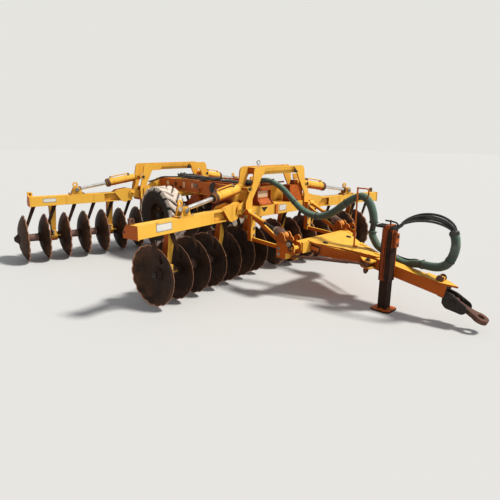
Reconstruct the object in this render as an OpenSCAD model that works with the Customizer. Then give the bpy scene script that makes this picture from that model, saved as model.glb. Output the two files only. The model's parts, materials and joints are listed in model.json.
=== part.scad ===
// Trailed tandem disc harrow with four folding wings, standing in its working
// position on its discs and parking jack. Millimetres, +X towards the tow eye,
// +Y to the left, +Z up, ground at z = 0.

/* [Discs] */
// Diameter of each scalloped disc
disc_d = 620; // [580:10:650]
// Thickness of the disc steel
disc_t = 7; // [5:1:9]
// Depth of the dish
disc_dish = 80; // [60:5:90]
// Distance between neighbouring discs along a gang
disc_pitch = 254; // [240:2:270]
// Radius of the flat seat in the middle of a disc
disc_seat_r = 92; // [80:2:110]
// Number of shallow scallops round the rim
scallops = 18; // [14:4:22]
// Depth of each scallop
scallop_depth = 11; // [6:1:14]
// Discs on each centre gang
centre_discs = 2; // [2:1:2]
// Radius of the spool between discs
spool_r = 45; // [34:1:46]
// Width of a scraper bar across the gang
scraper_w = 50; // [44:2:56]
// Thickness of a scraper bar
scraper_t = 12; // [8:1:14]

/* [Layout] */
// Angle of each gang from straight across
gang_angle = 9; // [6:0.5:12]
// Forward place of the outermost front disc
front_gang_x = 172; // [162:2:182]
// Forward place of the outermost rear disc
rear_gang_x = -2366; // [-2376:2:-2356]
// Outermost front disc from the centre line
front_half = 1735; // [1725:5:1745]
// Outermost rear disc from the centre line
rear_half = 2071; // [2061:5:2081]
// Front wing hinge from the centre line
front_hinge_y = 628; // [620:2:636]
// Rear wing hinge from the centre line
rear_hinge_y = 704; // [700:2:712]

/* [Beams] */
// Width of a wing beam
beam_w = 120; // [110:2:130]
// Height of a wing beam
beam_h = 122; // [116:1:130]
// Height of the beams' undersides above the ground
beam_z = 742; // [736:2:748]
// Distance of the beam ahead of the gang's axis
beam_lead = 120; // [110:2:130]
// Wing beam past the outermost front disc
front_beam_over = 276; // [250:2:290]
// Wing beam past the outermost rear disc, inboard where negative
rear_beam_over = -75; // [-85:1:-65]
// Thickness of gussets, lugs and end plates
plate_t = 14; // [10:1:16]
// Width of the longitudinal box beams
rail_w = 100; // [80:5:110]
// Height of the longitudinal box beams
rail_h = 160; // [140:5:180]
// Middle of each longitudinal beam from the centre line
rail_y = 262; // [250:2:270]

/* [Arches] */
// Height of the front arch's top
front_arch_top = 1305; // [1290:5:1320]
// Height of the rear arch's top
rear_arch_top = 1252; // [1245:1:1265]
// Depth of the arches' top bars
arch_bar = 92; // [85:1:95]
// Width of the arches' legs
arch_leg = 102; // [96:2:108]
// Gap ahead of the ram line to an arch's front plate
arch_ahead = 138; // [120:2:150]
// Gap behind the ram line to an arch's rear plate
arch_behind = 74; // [70:2:84]
// Thickness of the arch plates
arch_t = 15; // [12:1:18]
// Half the width of the front arch's top
front_arch_half = 432; // [420:2:440]
// Half the width of the rear arch's top
rear_arch_half = 556; // [550:2:564]

/* [Wing rams] */
// Radius of the ram barrels
barrel_r = 51; // [46:1:54]
// Radius of the piston rods
rod_r = 23; // [20:1:26]
// Length of a barrel from its pin to its gland
barrel_l = 470; // [450:2:480]
// Height of the pins in the arch legs
ram_top_z = 1070; // [1064:2:1076]
// Height of the pins in the wing brackets
ram_low_z = 930; // [926:2:934]
// Distance along a front wing between its ram's two pins
front_ram_reach = 906; // [900:2:912]
// Distance along a rear wing between its ram's two pins
rear_ram_reach = 870; // [864:2:876]
// Radius of hinge and ram pins
pin_r = 20; // [18:0.5:21]
// Radial clearance round turning pins
pin_gap = 0.3; // [0.2:0.05:0.4]

/* [Transport wheels] */
// Overall diameter of a tyre to the lug tips
tyre_d = 800; // [780:5:820]
// Width of a tyre
tyre_w = 285; // [265:5:295]
// Middle of a tyre from the centre line
wheel_y = 560; // [550:2:570]
// Forward place of the wheel centres in the raised position
wheel_x = -1408; // [-1418:2:-1398]
// Height of the wheel centres in the raised position
wheel_z = 575; // [565:5:585]
// Forward place of the rockshaft
rock_x = -928; // [-940:2:-916]
// Height of the rockshaft
rock_z = 822; // [816:2:826]
// Radius of the rockshaft
rock_r = 45; // [38:1:48]
// Lugs round each half of the tread
tyre_lugs = 16; // [14:1:18]

/* [Hitch] */
// Forward place of the drawbar's cross tube
cross_x = 922; // [918:2:928]
// Height of the drawbar's cross tube
cross_z = 523; // [518:1:528]
// Slope of the drawbar down towards the eye
pole_slope = 9; // [8:0.5:10]
// Length of the drawbar from its cross tube to the clevis
pole_l = 1405; // [1395:5:1415]
// Width of the drawbar pole
pole_w = 124; // [110:2:134]
// Height of the drawbar pole
pole_h = 112; // [100:2:120]
// Place of the side stays' pins along the drawbar
stay_pin_reach = 648; // [636:4:660]
// Place of the side stays' pins from the drawbar's middle
stay_pin_y = 150; // [142:2:158]
// Middle of each hitch block from the centre line
block_y = 500; // [494:2:506]
// Radius of the hole in the tow eye
eye_hole_r = 30; // [25:0.5:35]
// Outer radius of the tow eye
eye_r = 68; // [62:1:74]
// Thickness of the tow eye
eye_t = 40; // [34:1:44]
// Forward place of the parking jack
jack_x = 1762; // [1756:2:1768]
// Size of the jack's square outer tube
jack_w = 104; // [96:2:110]
// Lift left in the jack's inner leg
jack_lift = 260; // [200:10:270]

/* [Hidden] */
$fn = 48;

FRONT = 0;                  // row numbers used as indices
REAR = 1;
RIGHT = 1;                  // side numbers, the left being the mirror of the right
LEFT = -1;
gang_x = [front_gang_x, rear_gang_x];
half = [front_half, rear_half];
hinge_y = [front_hinge_y, rear_hinge_y];
beam_over = [front_beam_over, rear_beam_over];
arch_half = [front_arch_half, rear_arch_half];
arch_top = [front_arch_top, rear_arch_top];
ram_reach = [front_ram_reach, rear_ram_reach];
lean = [1, -1];             // front gangs trail inwards, rear gangs lead inwards
dish = [1, -1];             // way the dish bulges along a gang, inwards or outwards

disc_r = disc_d / 2;
beam_top = beam_z + beam_h;
hinge_z = beam_top - 14;
hinge_lug_r = 44;
fit = 0.3;                  // running gap between round pieces
run_gap = 2;                // side gap between hinge plates
ram_pin_y = [hinge_y[0] - 122, hinge_y[1] - 122];

// Along-beam place, in a quarter's own axes, of a point of the beam's line at y_abs from the centre
function along(row, y_abs) =
    (half[row] - y_abs - lean[row] * beam_lead * sin(gang_angle)) / cos(gang_angle);
// Forward place of the beam's line at y_abs from the centre
function beam_x(row, y_abs) = gang_x[row] + beam_lead * cos(gang_angle)
    - lean[row] * along(row, y_abs) * sin(gang_angle);
arch_x = [beam_x(0, ram_pin_y[0]), beam_x(1, ram_pin_y[1])];
hinge_s = [along(0, hinge_y[0]), along(1, hinge_y[1])];
// As many discs as a wing's length holds
wing_discs = [for (row = [FRONT, REAR]) floor((hinge_s[row] - 62) / disc_pitch) + 1];
ram_s = [along(0, ram_pin_y[0]), along(1, ram_pin_y[1])];
bracket_s = [ram_s[0] - ram_reach[0], ram_s[1] - ram_reach[1]];
ram_fall = ram_top_z - ram_low_z;
ram_l = [norm([ram_reach[0], ram_fall]), norm([ram_reach[1], ram_fall])];
ram_tilt = [atan2(ram_fall, ram_reach[0]), atan2(ram_fall, ram_reach[1])];
rail_z = beam_top + 32;
cross_top = rail_z + rail_h - 6;
bearing_offset = [168, 84]; // a bearing's place past its disc, clear of the dishes
bearing_discs = [[0, wing_discs[0] - 2], [1, wing_discs[1] - 2]];
hanger_w = 86;
hanger_foot_w = 50;
bearing_r = 66;
bearing_l = 70;

function arc_pts(c, r, a0, a1, n) = [for (i = [0:n]) c + r * [cos(a0 + (a1 - a0) * i / n), sin(a0 + (a1 - a0) * i / n)]];
function unit(v) = v / norm(v);
function turn(a) = a > 180 ? a - 360 : a < -180 ? a + 360 : a;
// One corner of an outline, rounded to radius r by n steps
function corner(a, p, b, r, n) = r == 0 ? [p] :
    let (u = unit(a - p), w = unit(b - p), h = acos(u * w) / 2, t = r / tan(h),
        c = p + unit(u + w) * r / sin(h), s = p + u * t - c, e = p + w * t - c,
        a0 = atan2(s[1], s[0]), d = turn(atan2(e[1], e[0]) - a0))
    [for (i = [0:n]) c + r * [cos(a0 + d * i / n), sin(a0 + d * i / n)]];
// Outline with rounded corners from rows of [across, up, radius]
function rounded(rows, n = 6) = [for (i = [0:len(rows) - 1])
    let (k = len(rows), p = rows[i], a = rows[(i + k - 1) % k], b = rows[(i + 1) % k])
    each corner([a[0], a[1]], [p[0], p[1]], [b[0], b[1]], p[2], n)];

module block(x, y, z) translate([x[0], y[0], z[0]]) cube([x[1] - x[0], y[1] - y[0], z[1] - z[0]]);
// Plate standing across the machine, its outline given as [y, z]
module cross_plate(x, t, outline) translate([x, 0, 0]) rotate([90, 0, 90]) linear_extrude(t) polygon(outline);
// Plate standing along the machine, its outline given as [x, z]
module side_plate(y, t, outline) translate([0, y + t, 0]) rotate([90, 0, 0]) linear_extrude(t) polygon(outline);
module rod_x(x, y, z, r) translate([x[0], y, z]) rotate([0, 90, 0]) cylinder(r = r, h = x[1] - x[0]);
module rod_y(x, y, z, r) translate([x, y[0], z]) rotate([-90, 0, 0]) cylinder(r = r, h = y[1] - y[0]);
// Children stood along the line from p to q, their own z axis pointing along it
module between(p, q) {
    d = q - p;
    translate(p) rotate([0, acos(d[2] / norm(d)), atan2(d[1], d[0])]) children();
}
module both_sides() {
    children();
    mirror([0, 1, 0]) children();
}
// A quarter's own axes: origin on the ground below the outermost disc, +y inwards along the gang, +x ahead
module quarter(row, side = RIGHT) mirror([0, side == LEFT ? 1 : 0, 0])
    translate([gang_x[row], -half[row], 0]) rotate([0, 0, lean[row] * gang_angle]) children();

// Tube swept along points, with rings square to the path
function path_dir(p, i) = unit(p[min(i + 1, len(p) - 1)] - p[max(i - 1, 0)]);
module tube(points, r, sides = 8) {
    n = len(points);
    rings = [for (i = [0:n - 1]) let (d = path_dir(points, i), a = unit(cross(d, [0.05, 1, 0.02])), b = cross(a, d))
        for (k = [0:sides - 1]) points[i] + r * (a * cos(k * 360 / sides) + b * sin(k * 360 / sides))];
    walls = [for (i = [0:n - 2], k = [0:sides - 1])
        [i * sides + k, i * sides + (k + 1) % sides, (i + 1) * sides + (k + 1) % sides, (i + 1) * sides + k]];
    polyhedron(rings, concat([[for (k = [sides - 1:-1:0]) k]], walls, [[for (k = [0:sides - 1]) (n - 1) * sides + k]]));
}

// Discs and gangs

module disc() {
    flat = disc_seat_r;
    steps = 5;
    bowl = [for (i = [0:steps]) let (r = disc_r + (flat - disc_r) * i / steps)
        [r, disc_dish * (1 - pow((r - flat) / (disc_r - flat), 2)) ]];
    shell = concat(bowl, [[0, disc_dish], [0, disc_dish + disc_t]],
        [for (i = [steps:-1:1]) bowl[i] + [0, disc_t]], [[disc_r - 9, bowl[0][1] + disc_t]]);
    notch_r = 76;
    difference() {
        rotate([-90, 0, 0]) rotate_extrude() polygon(shell);
        for (i = [0:scallops - 1]) rotate([0, i * 360 / scallops, 0])
            translate([disc_r + notch_r - scallop_depth, -5, 0]) rotate([-90, 0, 0])
                cylinder(r = notch_r, h = disc_dish);
    }
}
module gang(row, first, count) {
    way = dish[row];
    hub = way * disc_dish;
    start = first * disc_pitch + hub;
    end = (first + count - 1) * disc_pitch + hub;
    module seat(y) rod_y(0, [y - 8, y + 8 + disc_t], disc_r, spool_r + 22);
    module nut(y, h) translate([0, y, disc_r]) rotate([-90, 0, 0]) cylinder(r = 36, h = h, $fn = 6);
    for (i = [0:count - 1]) translate([0, (first + i) * disc_pitch, disc_r])
        mirror([0, way < 0 ? 1 : 0, 0]) disc();
    rod_y(0, [start - 34, end + 34], disc_r, spool_r);
    for (i = [0:count - 1]) {
        y = (first + i) * disc_pitch + hub;
        rod_y(0, [y - 22, y + 22], disc_r, spool_r + 22);
    }
    nut(start - 62, 30);
    nut(end + 32, 30);
}
module steel_gang(row, side, first, count) color("saddlebrown") quarter(row, side) gang(row, first, count);

// Hangers carry a gang's bearings below a beam
module hanger(row, disc_number) {
    s = disc_number * disc_pitch + bearing_offset[row];
    difference() {
        union() {
            intersection() {
                translate([0, s, 0]) cross_plate(-100, 400, [[-hanger_w / 2, beam_z], [hanger_w / 2, beam_z],
                    [hanger_foot_w / 2, disc_r + 40], [-hanger_foot_w / 2, disc_r + 40]]);
                side_plate(s - 60, 120, [[beam_lead - 57, beam_z], [beam_lead + 2, beam_z],
                    [56, disc_r + 40], [-46, disc_r + 40]]);
            }
            rod_y(0, [s - bearing_l / 2, s + bearing_l / 2], disc_r, bearing_r);
            block([-30, 96], [s - 24, s + 24], [disc_r + 20, disc_r + 92]);
        }
        rod_y(0, [s - 100, s + 100], disc_r, spool_r + fit);
    }
}
module scraper(row, i) {
    // A flat bar from the beam into the hollow side of its disc
    way = dish[row];
    y = i * disc_pitch;
    top = beam_z - 0.3;
    tip = disc_r + 150;
    clear = disc_dish + 4;
    cross_plate(beam_lead + 8, scraper_t, [[y - way * (clear + scraper_w), top], [y - way * clear, top],
        [y + way * disc_dish / 3, tip], [y + way * (disc_dish / 3 - scraper_w * 0.64), tip - 10]]);
}

// Wings

module wing(row) {
    out = -beam_over[row];
    in = hinge_s[row] - 62;
    step = in - 330;
    x0 = beam_lead - beam_w / 2;
    x1 = beam_lead + beam_w / 2;
    b = bracket_s[row];
    ear_gap = 62;
    difference() {
        union() {
            block([x0, x1], [out, step], [beam_z, beam_top]);
            block([x0, x1 - 34], [step, in], [beam_z, beam_top]);
            block([x1 - 34, x1], [step, in - 130], [beam_top - 12, beam_top]);
            block([x1 - 34, x1], [step, in - 130], [beam_z, beam_z + 12]);
            // End plate, deeper than the beam, with its lug
            side_plate(out - plate_t, plate_t, [[x0 - 84, beam_z - 6], [x1 + 4, beam_z - 6], [x1 + 4, beam_top + 2],
                [x0 - 30, beam_top + 2], [x0 - 84, beam_z + 50]]);
            cross_plate(x0 - 4, 22, rounded([[out - plate_t, beam_top - 20, 0], [out + 44, beam_top - 20, 0],
                [out + 44, beam_top + 56, 20], [out - plate_t, beam_top + 56, 20]]));
            // Gussets rising to the hinge
            for (x = [x0 - plate_t, x1 - 34]) cross_plate(x, x == x0 - plate_t ? plate_t : 34 + plate_t,
                rounded([[in - 190, beam_top, 0], [in - 96, beam_z - 2, 0], [in - 40, beam_z - 22, 8], [hinge_s[row] - 18, beam_z + 22, 8],
                    [hinge_s[row] + hinge_lug_r, hinge_z - 12, 30], [hinge_s[row] + hinge_lug_r - 8, hinge_z + hinge_lug_r, 30],
                    [hinge_s[row] - 60, hinge_z + 66, 20], [in - 150, beam_top + 30, 0]]));
            // Ears of the ram bracket on its base plate
            block([beam_lead - 56, beam_lead + 56], [b - 95, b + 95], [beam_top, beam_top + 12]);
            for (x = [beam_lead - ear_gap / 2 - plate_t, beam_lead + ear_gap / 2]) cross_plate(x, plate_t,
                rounded([[b - 70, beam_top + 12, 0], [b + 70, beam_top + 12, 0],
                    [b + 30, ram_low_z + 38, 28], [b - 30, ram_low_z + 38, 28]]));
            for (x = [[beam_lead - ear_gap / 2 - plate_t - 12, beam_lead - ear_gap / 2], [beam_lead + ear_gap / 2, beam_lead + ear_gap / 2 + plate_t + 12]])
                rod_x(x, b, ram_low_z, pin_r + 8);
            for (i = bearing_discs[row]) hanger(row, i);
            // Seat of the rear wing's innermost scraper, under its gusset
            if (row == REAR) block([x1 - 66, x1 + plate_t], [in - 10, in + 60], [beam_z, beam_z + 30]);
        }
        rod_x([0, 400], hinge_s[row], hinge_z, pin_r + pin_gap);
    }
}
module wing_beam(row, side) color("orange") quarter(row, side) wing(row);
module wing_scrapers(row, side) color("dimgray") quarter(row, side)
    for (i = [0:wing_discs[row] - 1]) scraper(row, i);

// Centre frames, each with its beam, arch, hinge lugs and centre hangers

function arch_outline(row, foot_z) = let (t = arch_half[row], f = hinge_y[row] - 68, w = arch_leg, top = arch_top[row])
    rounded([[-f, foot_z, 0], [-f, beam_top + 60, 20], [-t - 22, ram_top_z + 60, 60], [-t, top, 62], [t, top, 62], [t + 22, ram_top_z + 60, 60],
        [f, beam_top + 60, 20], [f, foot_z, 0], [f - w, foot_z, 0], [f - w, beam_top + 90, 30], [t - w + 6, top - arch_bar - 60, 30],
        [t - w - 24, top - arch_bar, 30], [-t + w + 24, top - arch_bar, 30], [-t + w - 6, top - arch_bar - 60, 30],
        [-f + w, beam_top + 90, 30], [-f + w, foot_z, 0]]);
module centre_section(row) {
    x = arch_x[row];
    end = hinge_y[row] - 84;
    front = lean[row] > 0;
    back = x - arch_behind;
    ahead = x + arch_ahead;
    bar = [arch_top[row] - arch_bar, arch_top[row]];
    cut = 250;
    difference() {
        union() {
            block([back, ahead], [-end, end], [beam_z, beam_top]);
            cross_plate(back - arch_t, arch_t, arch_outline(row, beam_z + 24));
            difference() {
                cross_plate(ahead, arch_t, arch_outline(row, beam_z + 24));
                cross_plate(ahead - 1, arch_t + 2, [[-cut - 40, bar[0] - 5], [cut + 40, bar[0] - 5], [cut, bar[1] - 14], [-cut, bar[1] - 14]]);
            }
            // Bar between the arch plates, and the webs in their feet
            block([back, ahead - 26], [-cut - 60, cut + 60], [bar[0] + 4, bar[1] - 14]);
            both_sides() block([back, ahead], [hinge_y[row] - 180, hinge_y[row] - 168], [beam_top, beam_top + 60]);
            // Bulkhead that the longitudinal beams meet
            cross_plate(front ? back - 2 * arch_t : ahead + arch_t, arch_t, [[-end + 30, beam_z + 30], [end - 30, beam_z + 30],
                [end - 30, beam_top + 50], [rail_y + rail_w, rail_z + rail_h - 4], [-rail_y - rail_w, rail_z + rail_h - 4],
                [-end + 30, beam_top + 50]]);
            both_sides() quarter(row) {
                for (i = [wing_discs[row]]) centre_hanger(row, i);
                for (s = [-1, 1]) hinge_lug(row, s);
                rod_x([beam_lead - beam_w / 2 - 2 * plate_t - run_gap, beam_lead + beam_w / 2 + 2 * plate_t + run_gap],
                    hinge_s[row], hinge_z, pin_r);
            }
        }
        both_sides() quarter(row) rod_x([-400, 700], ram_s[row], ram_top_z, pin_r + pin_gap);
    }
}
module hinge_lug(row, s) {
    x = s > 0 ? beam_lead + beam_w / 2 + plate_t + run_gap : beam_lead - beam_w / 2 - 2 * plate_t - run_gap;
    h = hinge_s[row];
    cross_plate(x, plate_t, rounded([[h - hinge_lug_r, hinge_z - hinge_lug_r, 30], [h + 170, beam_z + 6, 0],
        [h + 170, beam_top, 0], [h + 60, hinge_z + hinge_lug_r, 20], [h - hinge_lug_r, hinge_z + hinge_lug_r, 36]]));
}
module centre_hanger(row, i) hanger(row, i);
module front_frame() color("orange") centre_section(FRONT);
module rear_frame() color("orange") centre_section(REAR);

module centre_frame() color("chocolate") {
    x0 = arch_x[1] + arch_ahead + 2 * arch_t;
    x1 = arch_x[0] - arch_behind - 2 * arch_t;
    difference() {
        union() {
            both_sides() block([x0, x1], [rail_y - rail_w / 2, rail_y + rail_w / 2], [rail_z, rail_z + rail_h]);
            for (x = [x0 + 300, rock_x + 200, x1 - 360])
                block([x, x + 90], [-rail_y, rail_y], [rail_z + 50, cross_top]);
            both_sides() side_plate(rail_y - 12, 24, rounded([[rock_x - 130, rail_z, 0], [rock_x - 60, rock_z - 66, 40],
                [rock_x + 60, rock_z - 66, 40], [rock_x + 130, rail_z, 0]]));
        }
        rod_y(rock_x, [-500, 500], rock_z, rock_r + fit);
    }
}
module centre_scrapers() color("dimgray") for (row = [FRONT, REAR]) both_sides() quarter(row)
    for (i = [wing_discs[row]:wing_discs[row] + centre_discs - 1]) scraper(row, i);

// Wing rams, drawn along +y from the barrel's pin and then laid in place

module ram_place(row, side) quarter(row, side)
    translate([beam_lead, ram_s[row], ram_top_z]) rotate([ram_tilt[row], 0, 0]) mirror([0, 1, 0]) children();
module ram_barrel(row, side) color("orange") ram_place(row, side) difference() {
    union() {
        rod_x([-34, 34], 0, 0, 46);
        rod_x([-arch_behind - arch_t + 4, arch_ahead + 5], 0, 0, pin_r);
        block([-28, 28], [0, 70], [-38, 38]);
        rod_y(0, [58, barrel_l], 0, barrel_r);
        rod_y(0, [barrel_l - 46, barrel_l - 8], 0, barrel_r + 5);
        block([-12, 12], [120, 150], [barrel_r - 6, barrel_r + 18]);
        block([-12, 12], [barrel_l - 90, barrel_l - 60], [barrel_r - 6, barrel_r + 18]);
    }
    rod_y(0, [90, barrel_l + 10], 0, rod_r + fit);
}
module ram_rod(row, side) color("silver") ram_place(row, side) {
    rod_y(0, [barrel_l - 46, ram_l[row] - 30], 0, rod_r);
    rod_x([-26, 26], ram_l[row], 0, 36);
    rod_x([-30.7, 30.7], ram_l[row], 0, pin_r);
}

// Transport wheels on a rockshaft

module wheel_axle() color("chocolate") {
    arm = wheel_y - tyre_w / 2 - 24;
    rod_y(rock_x, [-arm + 6, arm - 6], rock_z, rock_r);
    both_sides() {
        between([rock_x, arm - 24, rock_z], [wheel_x, arm - 24, wheel_z])
            translate([-46, -22, 20]) cube([92, 44, norm([rock_x - wheel_x, rock_z - wheel_z]) - 40]);
        rod_y(rock_x, [arm - 48, arm], rock_z, 78);
        rod_y(wheel_x, [arm - 48, arm], wheel_z, 62);
        rod_y(wheel_x, [arm - 10, wheel_y + 40], wheel_z, 30);
    }
}
rim_r = 200;
module wheel(side) color("orange") mirror([0, side == RIGHT ? 1 : 0, 0]) translate([wheel_x, wheel_y, wheel_z]) rotate([-90, 0, 0])
    difference() {
        union() {
            rotate_extrude() polygon([[30 + fit, -70], [62, -70], [66, -14], [150, 4], [168, 4], [176, -100],
                [rim_r + 4, -108], [rim_r + 10, -104], [rim_r + 10, -98], [rim_r - 8, -92], [rim_r - 8, 92],
                [rim_r + 10, 98], [rim_r + 10, 104], [rim_r + 4, 108], [176, 100], [168, 18], [150, 18], [72, 6],
                [66, 66], [30 + fit, 66]]);
            for (a = [0:60:300]) rotate([0, 0, a]) translate([96, 0, 0]) cylinder(r = 12, h = 28, $fn = 16);
        }
        for (a = [30:60:330]) rotate([0, 0, a]) translate([124, 0, -40]) cylinder(r = 14, h = 80, $fn = 16);
    }
module tyre(side) color("tan") mirror([0, side == RIGHT ? 1 : 0, 0]) translate([wheel_x, wheel_y, wheel_z]) rotate([-90, 0, 0]) {
    w = tyre_w / 2;
    r = tyre_d / 2;
    deep = 24;
    rotate_extrude() polygon([[rim_r - 7, -90], [rim_r + 12, -96], [rim_r + 60, -w + 8], [rim_r + 110, -w], [r - deep - 30, -w + 6],
        [r - deep, -w + 34], [r - deep, w - 34], [r - deep - 30, w - 6], [rim_r + 110, w], [rim_r + 60, w - 8],
        [rim_r + 12, 96], [rim_r - 7, 90]]);
    for (s = [-1, 1], i = [0:tyre_lugs - 1]) rotate([0, 0, (i + s / 4) * 360 / tyre_lugs])
        translate([0, 0, s * (w / 2 - 3)]) rotate([s * 38, 0, 0]) translate([r - deep - 14, -20, -w / 2 - 10])
            cube([deep + 12, 38, w + 12]);
}

// Boxes under the front arch and the reflector on it

module shelf_box() color("chocolate") {
    // Closed bin with a sunk front that slopes out to its shelf, and a hood on top
    x = arch_x[0];
    y = [-318, -82];
    z = beam_top;
    wall = 12;
    front = x + 86;
    difference() {
        side_plate(y[0], y[1] - y[0], [[x - 60, z], [front + 50, z], [front + 50, z + wall], [front, z + 66],
            [front, z + 176], [x - 60, z + 176]]);
        side_plate(y[0] + wall, y[1] - y[0] - 2 * wall, [[front - 22, z + 164], [front - 22, z + 72], [front + 28, z + wall],
            [front + 60, z + wall], [front + 60, z + 164]]);
    }
    cross_plate(x + 40, 40, [[y[0], z + 175], [y[1], z + 175], [y[1] - 20, z + 196], [y[0] + 20, z + 196]]);
}
module plain_box() color("chocolate") {
    // Closed box behind the left leg of the arch, its outer top corner cut, with a neck on top
    x = arch_x[0];
    z = beam_top;
    cross_plate(x + 14, 112, [[206, z], [446, z], [446, z + 150], [404, z + 206], [206, z + 206]]);
    cross_plate(x + 40, 60, [[300, z + 205], [386, z + 205], [372, z + 258], [312, z + 258]]);
}
module reflector() color("white") {
    x = arch_x[0] + arch_ahead + arch_t / 2;
    translate([x, -front_arch_half + 64, front_arch_top]) cylinder(r = 5, h = 34);
    rod_x([x - 7, x + 7], -front_arch_half + 64, front_arch_top + 52, 24);
}

// Hitch: side links and blocks, drawbar, jack and tow eye

link_x = arch_x[0] + arch_ahead + arch_t;
block_x = [cross_x - 200, cross_x + 44];
module hitch_links() color("orange") both_sides() {
    y = block_y;
    t = plate_t;
    x = block_x[0];
    // Post below the front beam, and the triangle of links down to the block
    block([link_x, link_x + 56], [y - 34, y + 34], [cross_z - 30, beam_top - 16]);
    side_plate(y - 12, 24, [[link_x + 50, cross_z - 30], [x + 10, cross_z - 50], [x + 10, cross_z - 10], [link_x + 50, cross_z + 10]]);
    side_plate(y - 12, 24, [[link_x + 50, beam_z + 10], [x + 10, cross_z + 6], [x + 10, cross_z + 52], [link_x + 50, beam_z + 60]]);
    // Block with its two cheeks, and the pins of the drawbar's cross tube
    block([x, x + 130], [y - 62, y + 62], [cross_z - 124, cross_z + 40]);
    block([x + 30, x + 100], [y - 40, y + 40], [cross_z + 40, cross_z + 76]);
    for (s = [-62, 62 - t]) side_plate(y + s, t, rounded([[x + 120, cross_z - 58, 0], [block_x[1] - 30, cross_z - 58, 20],
        [block_x[1], cross_z - 30, 20], [block_x[1], cross_z + 56, 36], [x + 140, cross_z + 66, 20], [x + 120, cross_z + 40, 0]]));
    rod_y(cross_x, [y - 62, y + 80], cross_z, 24);
    for (z = [cross_z - 126, cross_z - 80]) block([x + 120, x + 206], [y - 62, y - 16], [z, z + 12]);
    // Levelling screw from the beam to the block
    p = [link_x + 34, y + 60, beam_z + 84];
    q = [x + 64, y + 6, cross_z + 112];
    l = norm(q - p);
    rod_y(p[0], [y + 20, y + 82], p[2], 32);
    between(p, q) {
        cylinder(r = 22, h = l * 0.45);
        cylinder(r = 13, h = l);
        translate([0, 0, l * 0.74]) cylinder(r = 28, h = 24, $fn = 6);
        translate([0, 0, l * 0.8]) cylinder(r = 40, h = l * 0.2 + 10);
    }
    translate(q) sphere(r = 42);
}
stay_pin = [stay_pin_reach, stay_pin_y];
nose = [cross_x + pole_l * cos(pole_slope), cross_z - pole_l * sin(pole_slope)];
module on_pole() translate([cross_x, 0, cross_z]) rotate([0, pole_slope, 0]) children();
module drawbar() color("orange") {
    difference() {
        union() {
            block([cross_x - 56, cross_x + 56], [-block_y + 62.4, block_y - 62.4], [cross_z - 56, cross_z + 56]);
            on_pole() {
                translate([0, 0, -pole_h / 2]) linear_extrude(pole_h) polygon(concat(
                    [[30, -300], [150, -300], [640, -pole_w / 2], [pole_l - 60, -pole_w / 2]],
                    [[pole_l - 60, pole_w / 2], [640, pole_w / 2], [150, 300], [30, 300]]));
                translate([0, 0, pole_h / 2 - 6]) linear_extrude(18) polygon([[20, -330], [110, -330], [330, -190], [690, -40], [690, 40],
                    [330, 190], [110, 330], [20, 330]]);
                translate([0, 0, pole_h / 2 - 6]) linear_extrude(18) polygon([[pole_l - 240, -pole_w / 2 - 8], [pole_l - 60, -pole_w / 2 - 8],
                    [pole_l + 70, 0], [pole_l - 60, pole_w / 2 + 8], [pole_l - 240, pole_w / 2 + 8]]);
                // Ears of the side stays
                both_sides() for (z = [-40, 24]) translate([0, 0, z]) linear_extrude(14) polygon(rounded([[stay_pin[0] - 168, 60, 0], [stay_pin[0] + 52, 60, 0],
                    [stay_pin[0] + 42, stay_pin[1] + 36, 30], [stay_pin[0] - 38, stay_pin[1] + 36, 30]]));
                block([pole_l - 120, pole_l - 60], [-12, 12], [pole_h / 2, pole_h / 2 + 50]);
            }
        }
        both_sides() on_pole() translate([stay_pin[0], stay_pin[1], -60]) cylinder(r = 14 + fit, h = 120);
    }
}
module stay_rod() color("saddlebrown") both_sides() {
    pin = stay_pin;
    p = [block_x[0] + 176, block_y - 39, cross_z - 97];
    q = [cross_x + pin[0] * cos(pole_slope), pin[1], cross_z - pin[0] * sin(pole_slope)];
    l = norm(q - p);
    translate([p[0], p[1], p[2] - 16.6]) cylinder(r = 22, h = 33.2);
    between(p, q) cylinder(r = 13, h = l);
    between(p, q) translate([0, 0, l * 0.3]) cylinder(r = 18, h = l * 0.45);
    on_pole() translate([pin[0], pin[1], -58]) cylinder(r = 14, h = 112);
    on_pole() translate([pin[0], pin[1], -25.4]) cylinder(r = 28, h = 48.8);
}
pole_z_at_jack = cross_z - (jack_x - cross_x) * tan(pole_slope);
jack_y = -pole_w / 2 - jack_w / 2 - 10;
jack_low = 300;
jack_high = 806;
jack_foot_t = 14;
coupling_r = 13;
coupling_z = jack_high + 17;
coupling_y = [for (i = [0:3]) jack_y - 45 + 30 * i];
module jack_tube() color("orange") {
    w = jack_w / 2;
    t = 8;
    difference() {
        union() {
            block([jack_x - w, jack_x + w], [jack_y - w, jack_y + w], [jack_low, jack_high]);
            block([jack_x - w, jack_x + w], [jack_y + w, -pole_w / 2], [pole_z_at_jack - 44, pole_z_at_jack + 40]);
            block([jack_x + w, jack_x + w + 30], [jack_y - 34, jack_y + 34], [jack_high - 170, jack_high - 40]);
            // Rack of the hose couplings
            block([jack_x - 24, jack_x + 24], [jack_y - 64, jack_y + 64], [jack_high, coupling_z + 17]);
        }
        block([jack_x - w + t, jack_x + w - t], [jack_y - w + t, jack_y + w - t], [jack_low - 10, jack_high - t]);
        block([jack_x - 14, jack_x + 14], [jack_y - w - 10, jack_y], [jack_low + 30, jack_high - 120]);
        for (y = coupling_y) rod_x([jack_x - 100, jack_x + 100], y, coupling_z, coupling_r + fit);
    }
}
module couplings() color("dimgray") for (y = coupling_y) {
    rod_x([jack_x - 120, jack_x + 52], y, coupling_z, coupling_r);
    rod_x([jack_x + 26, jack_x + 50], y, coupling_z, coupling_r + 1.5);
}
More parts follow.
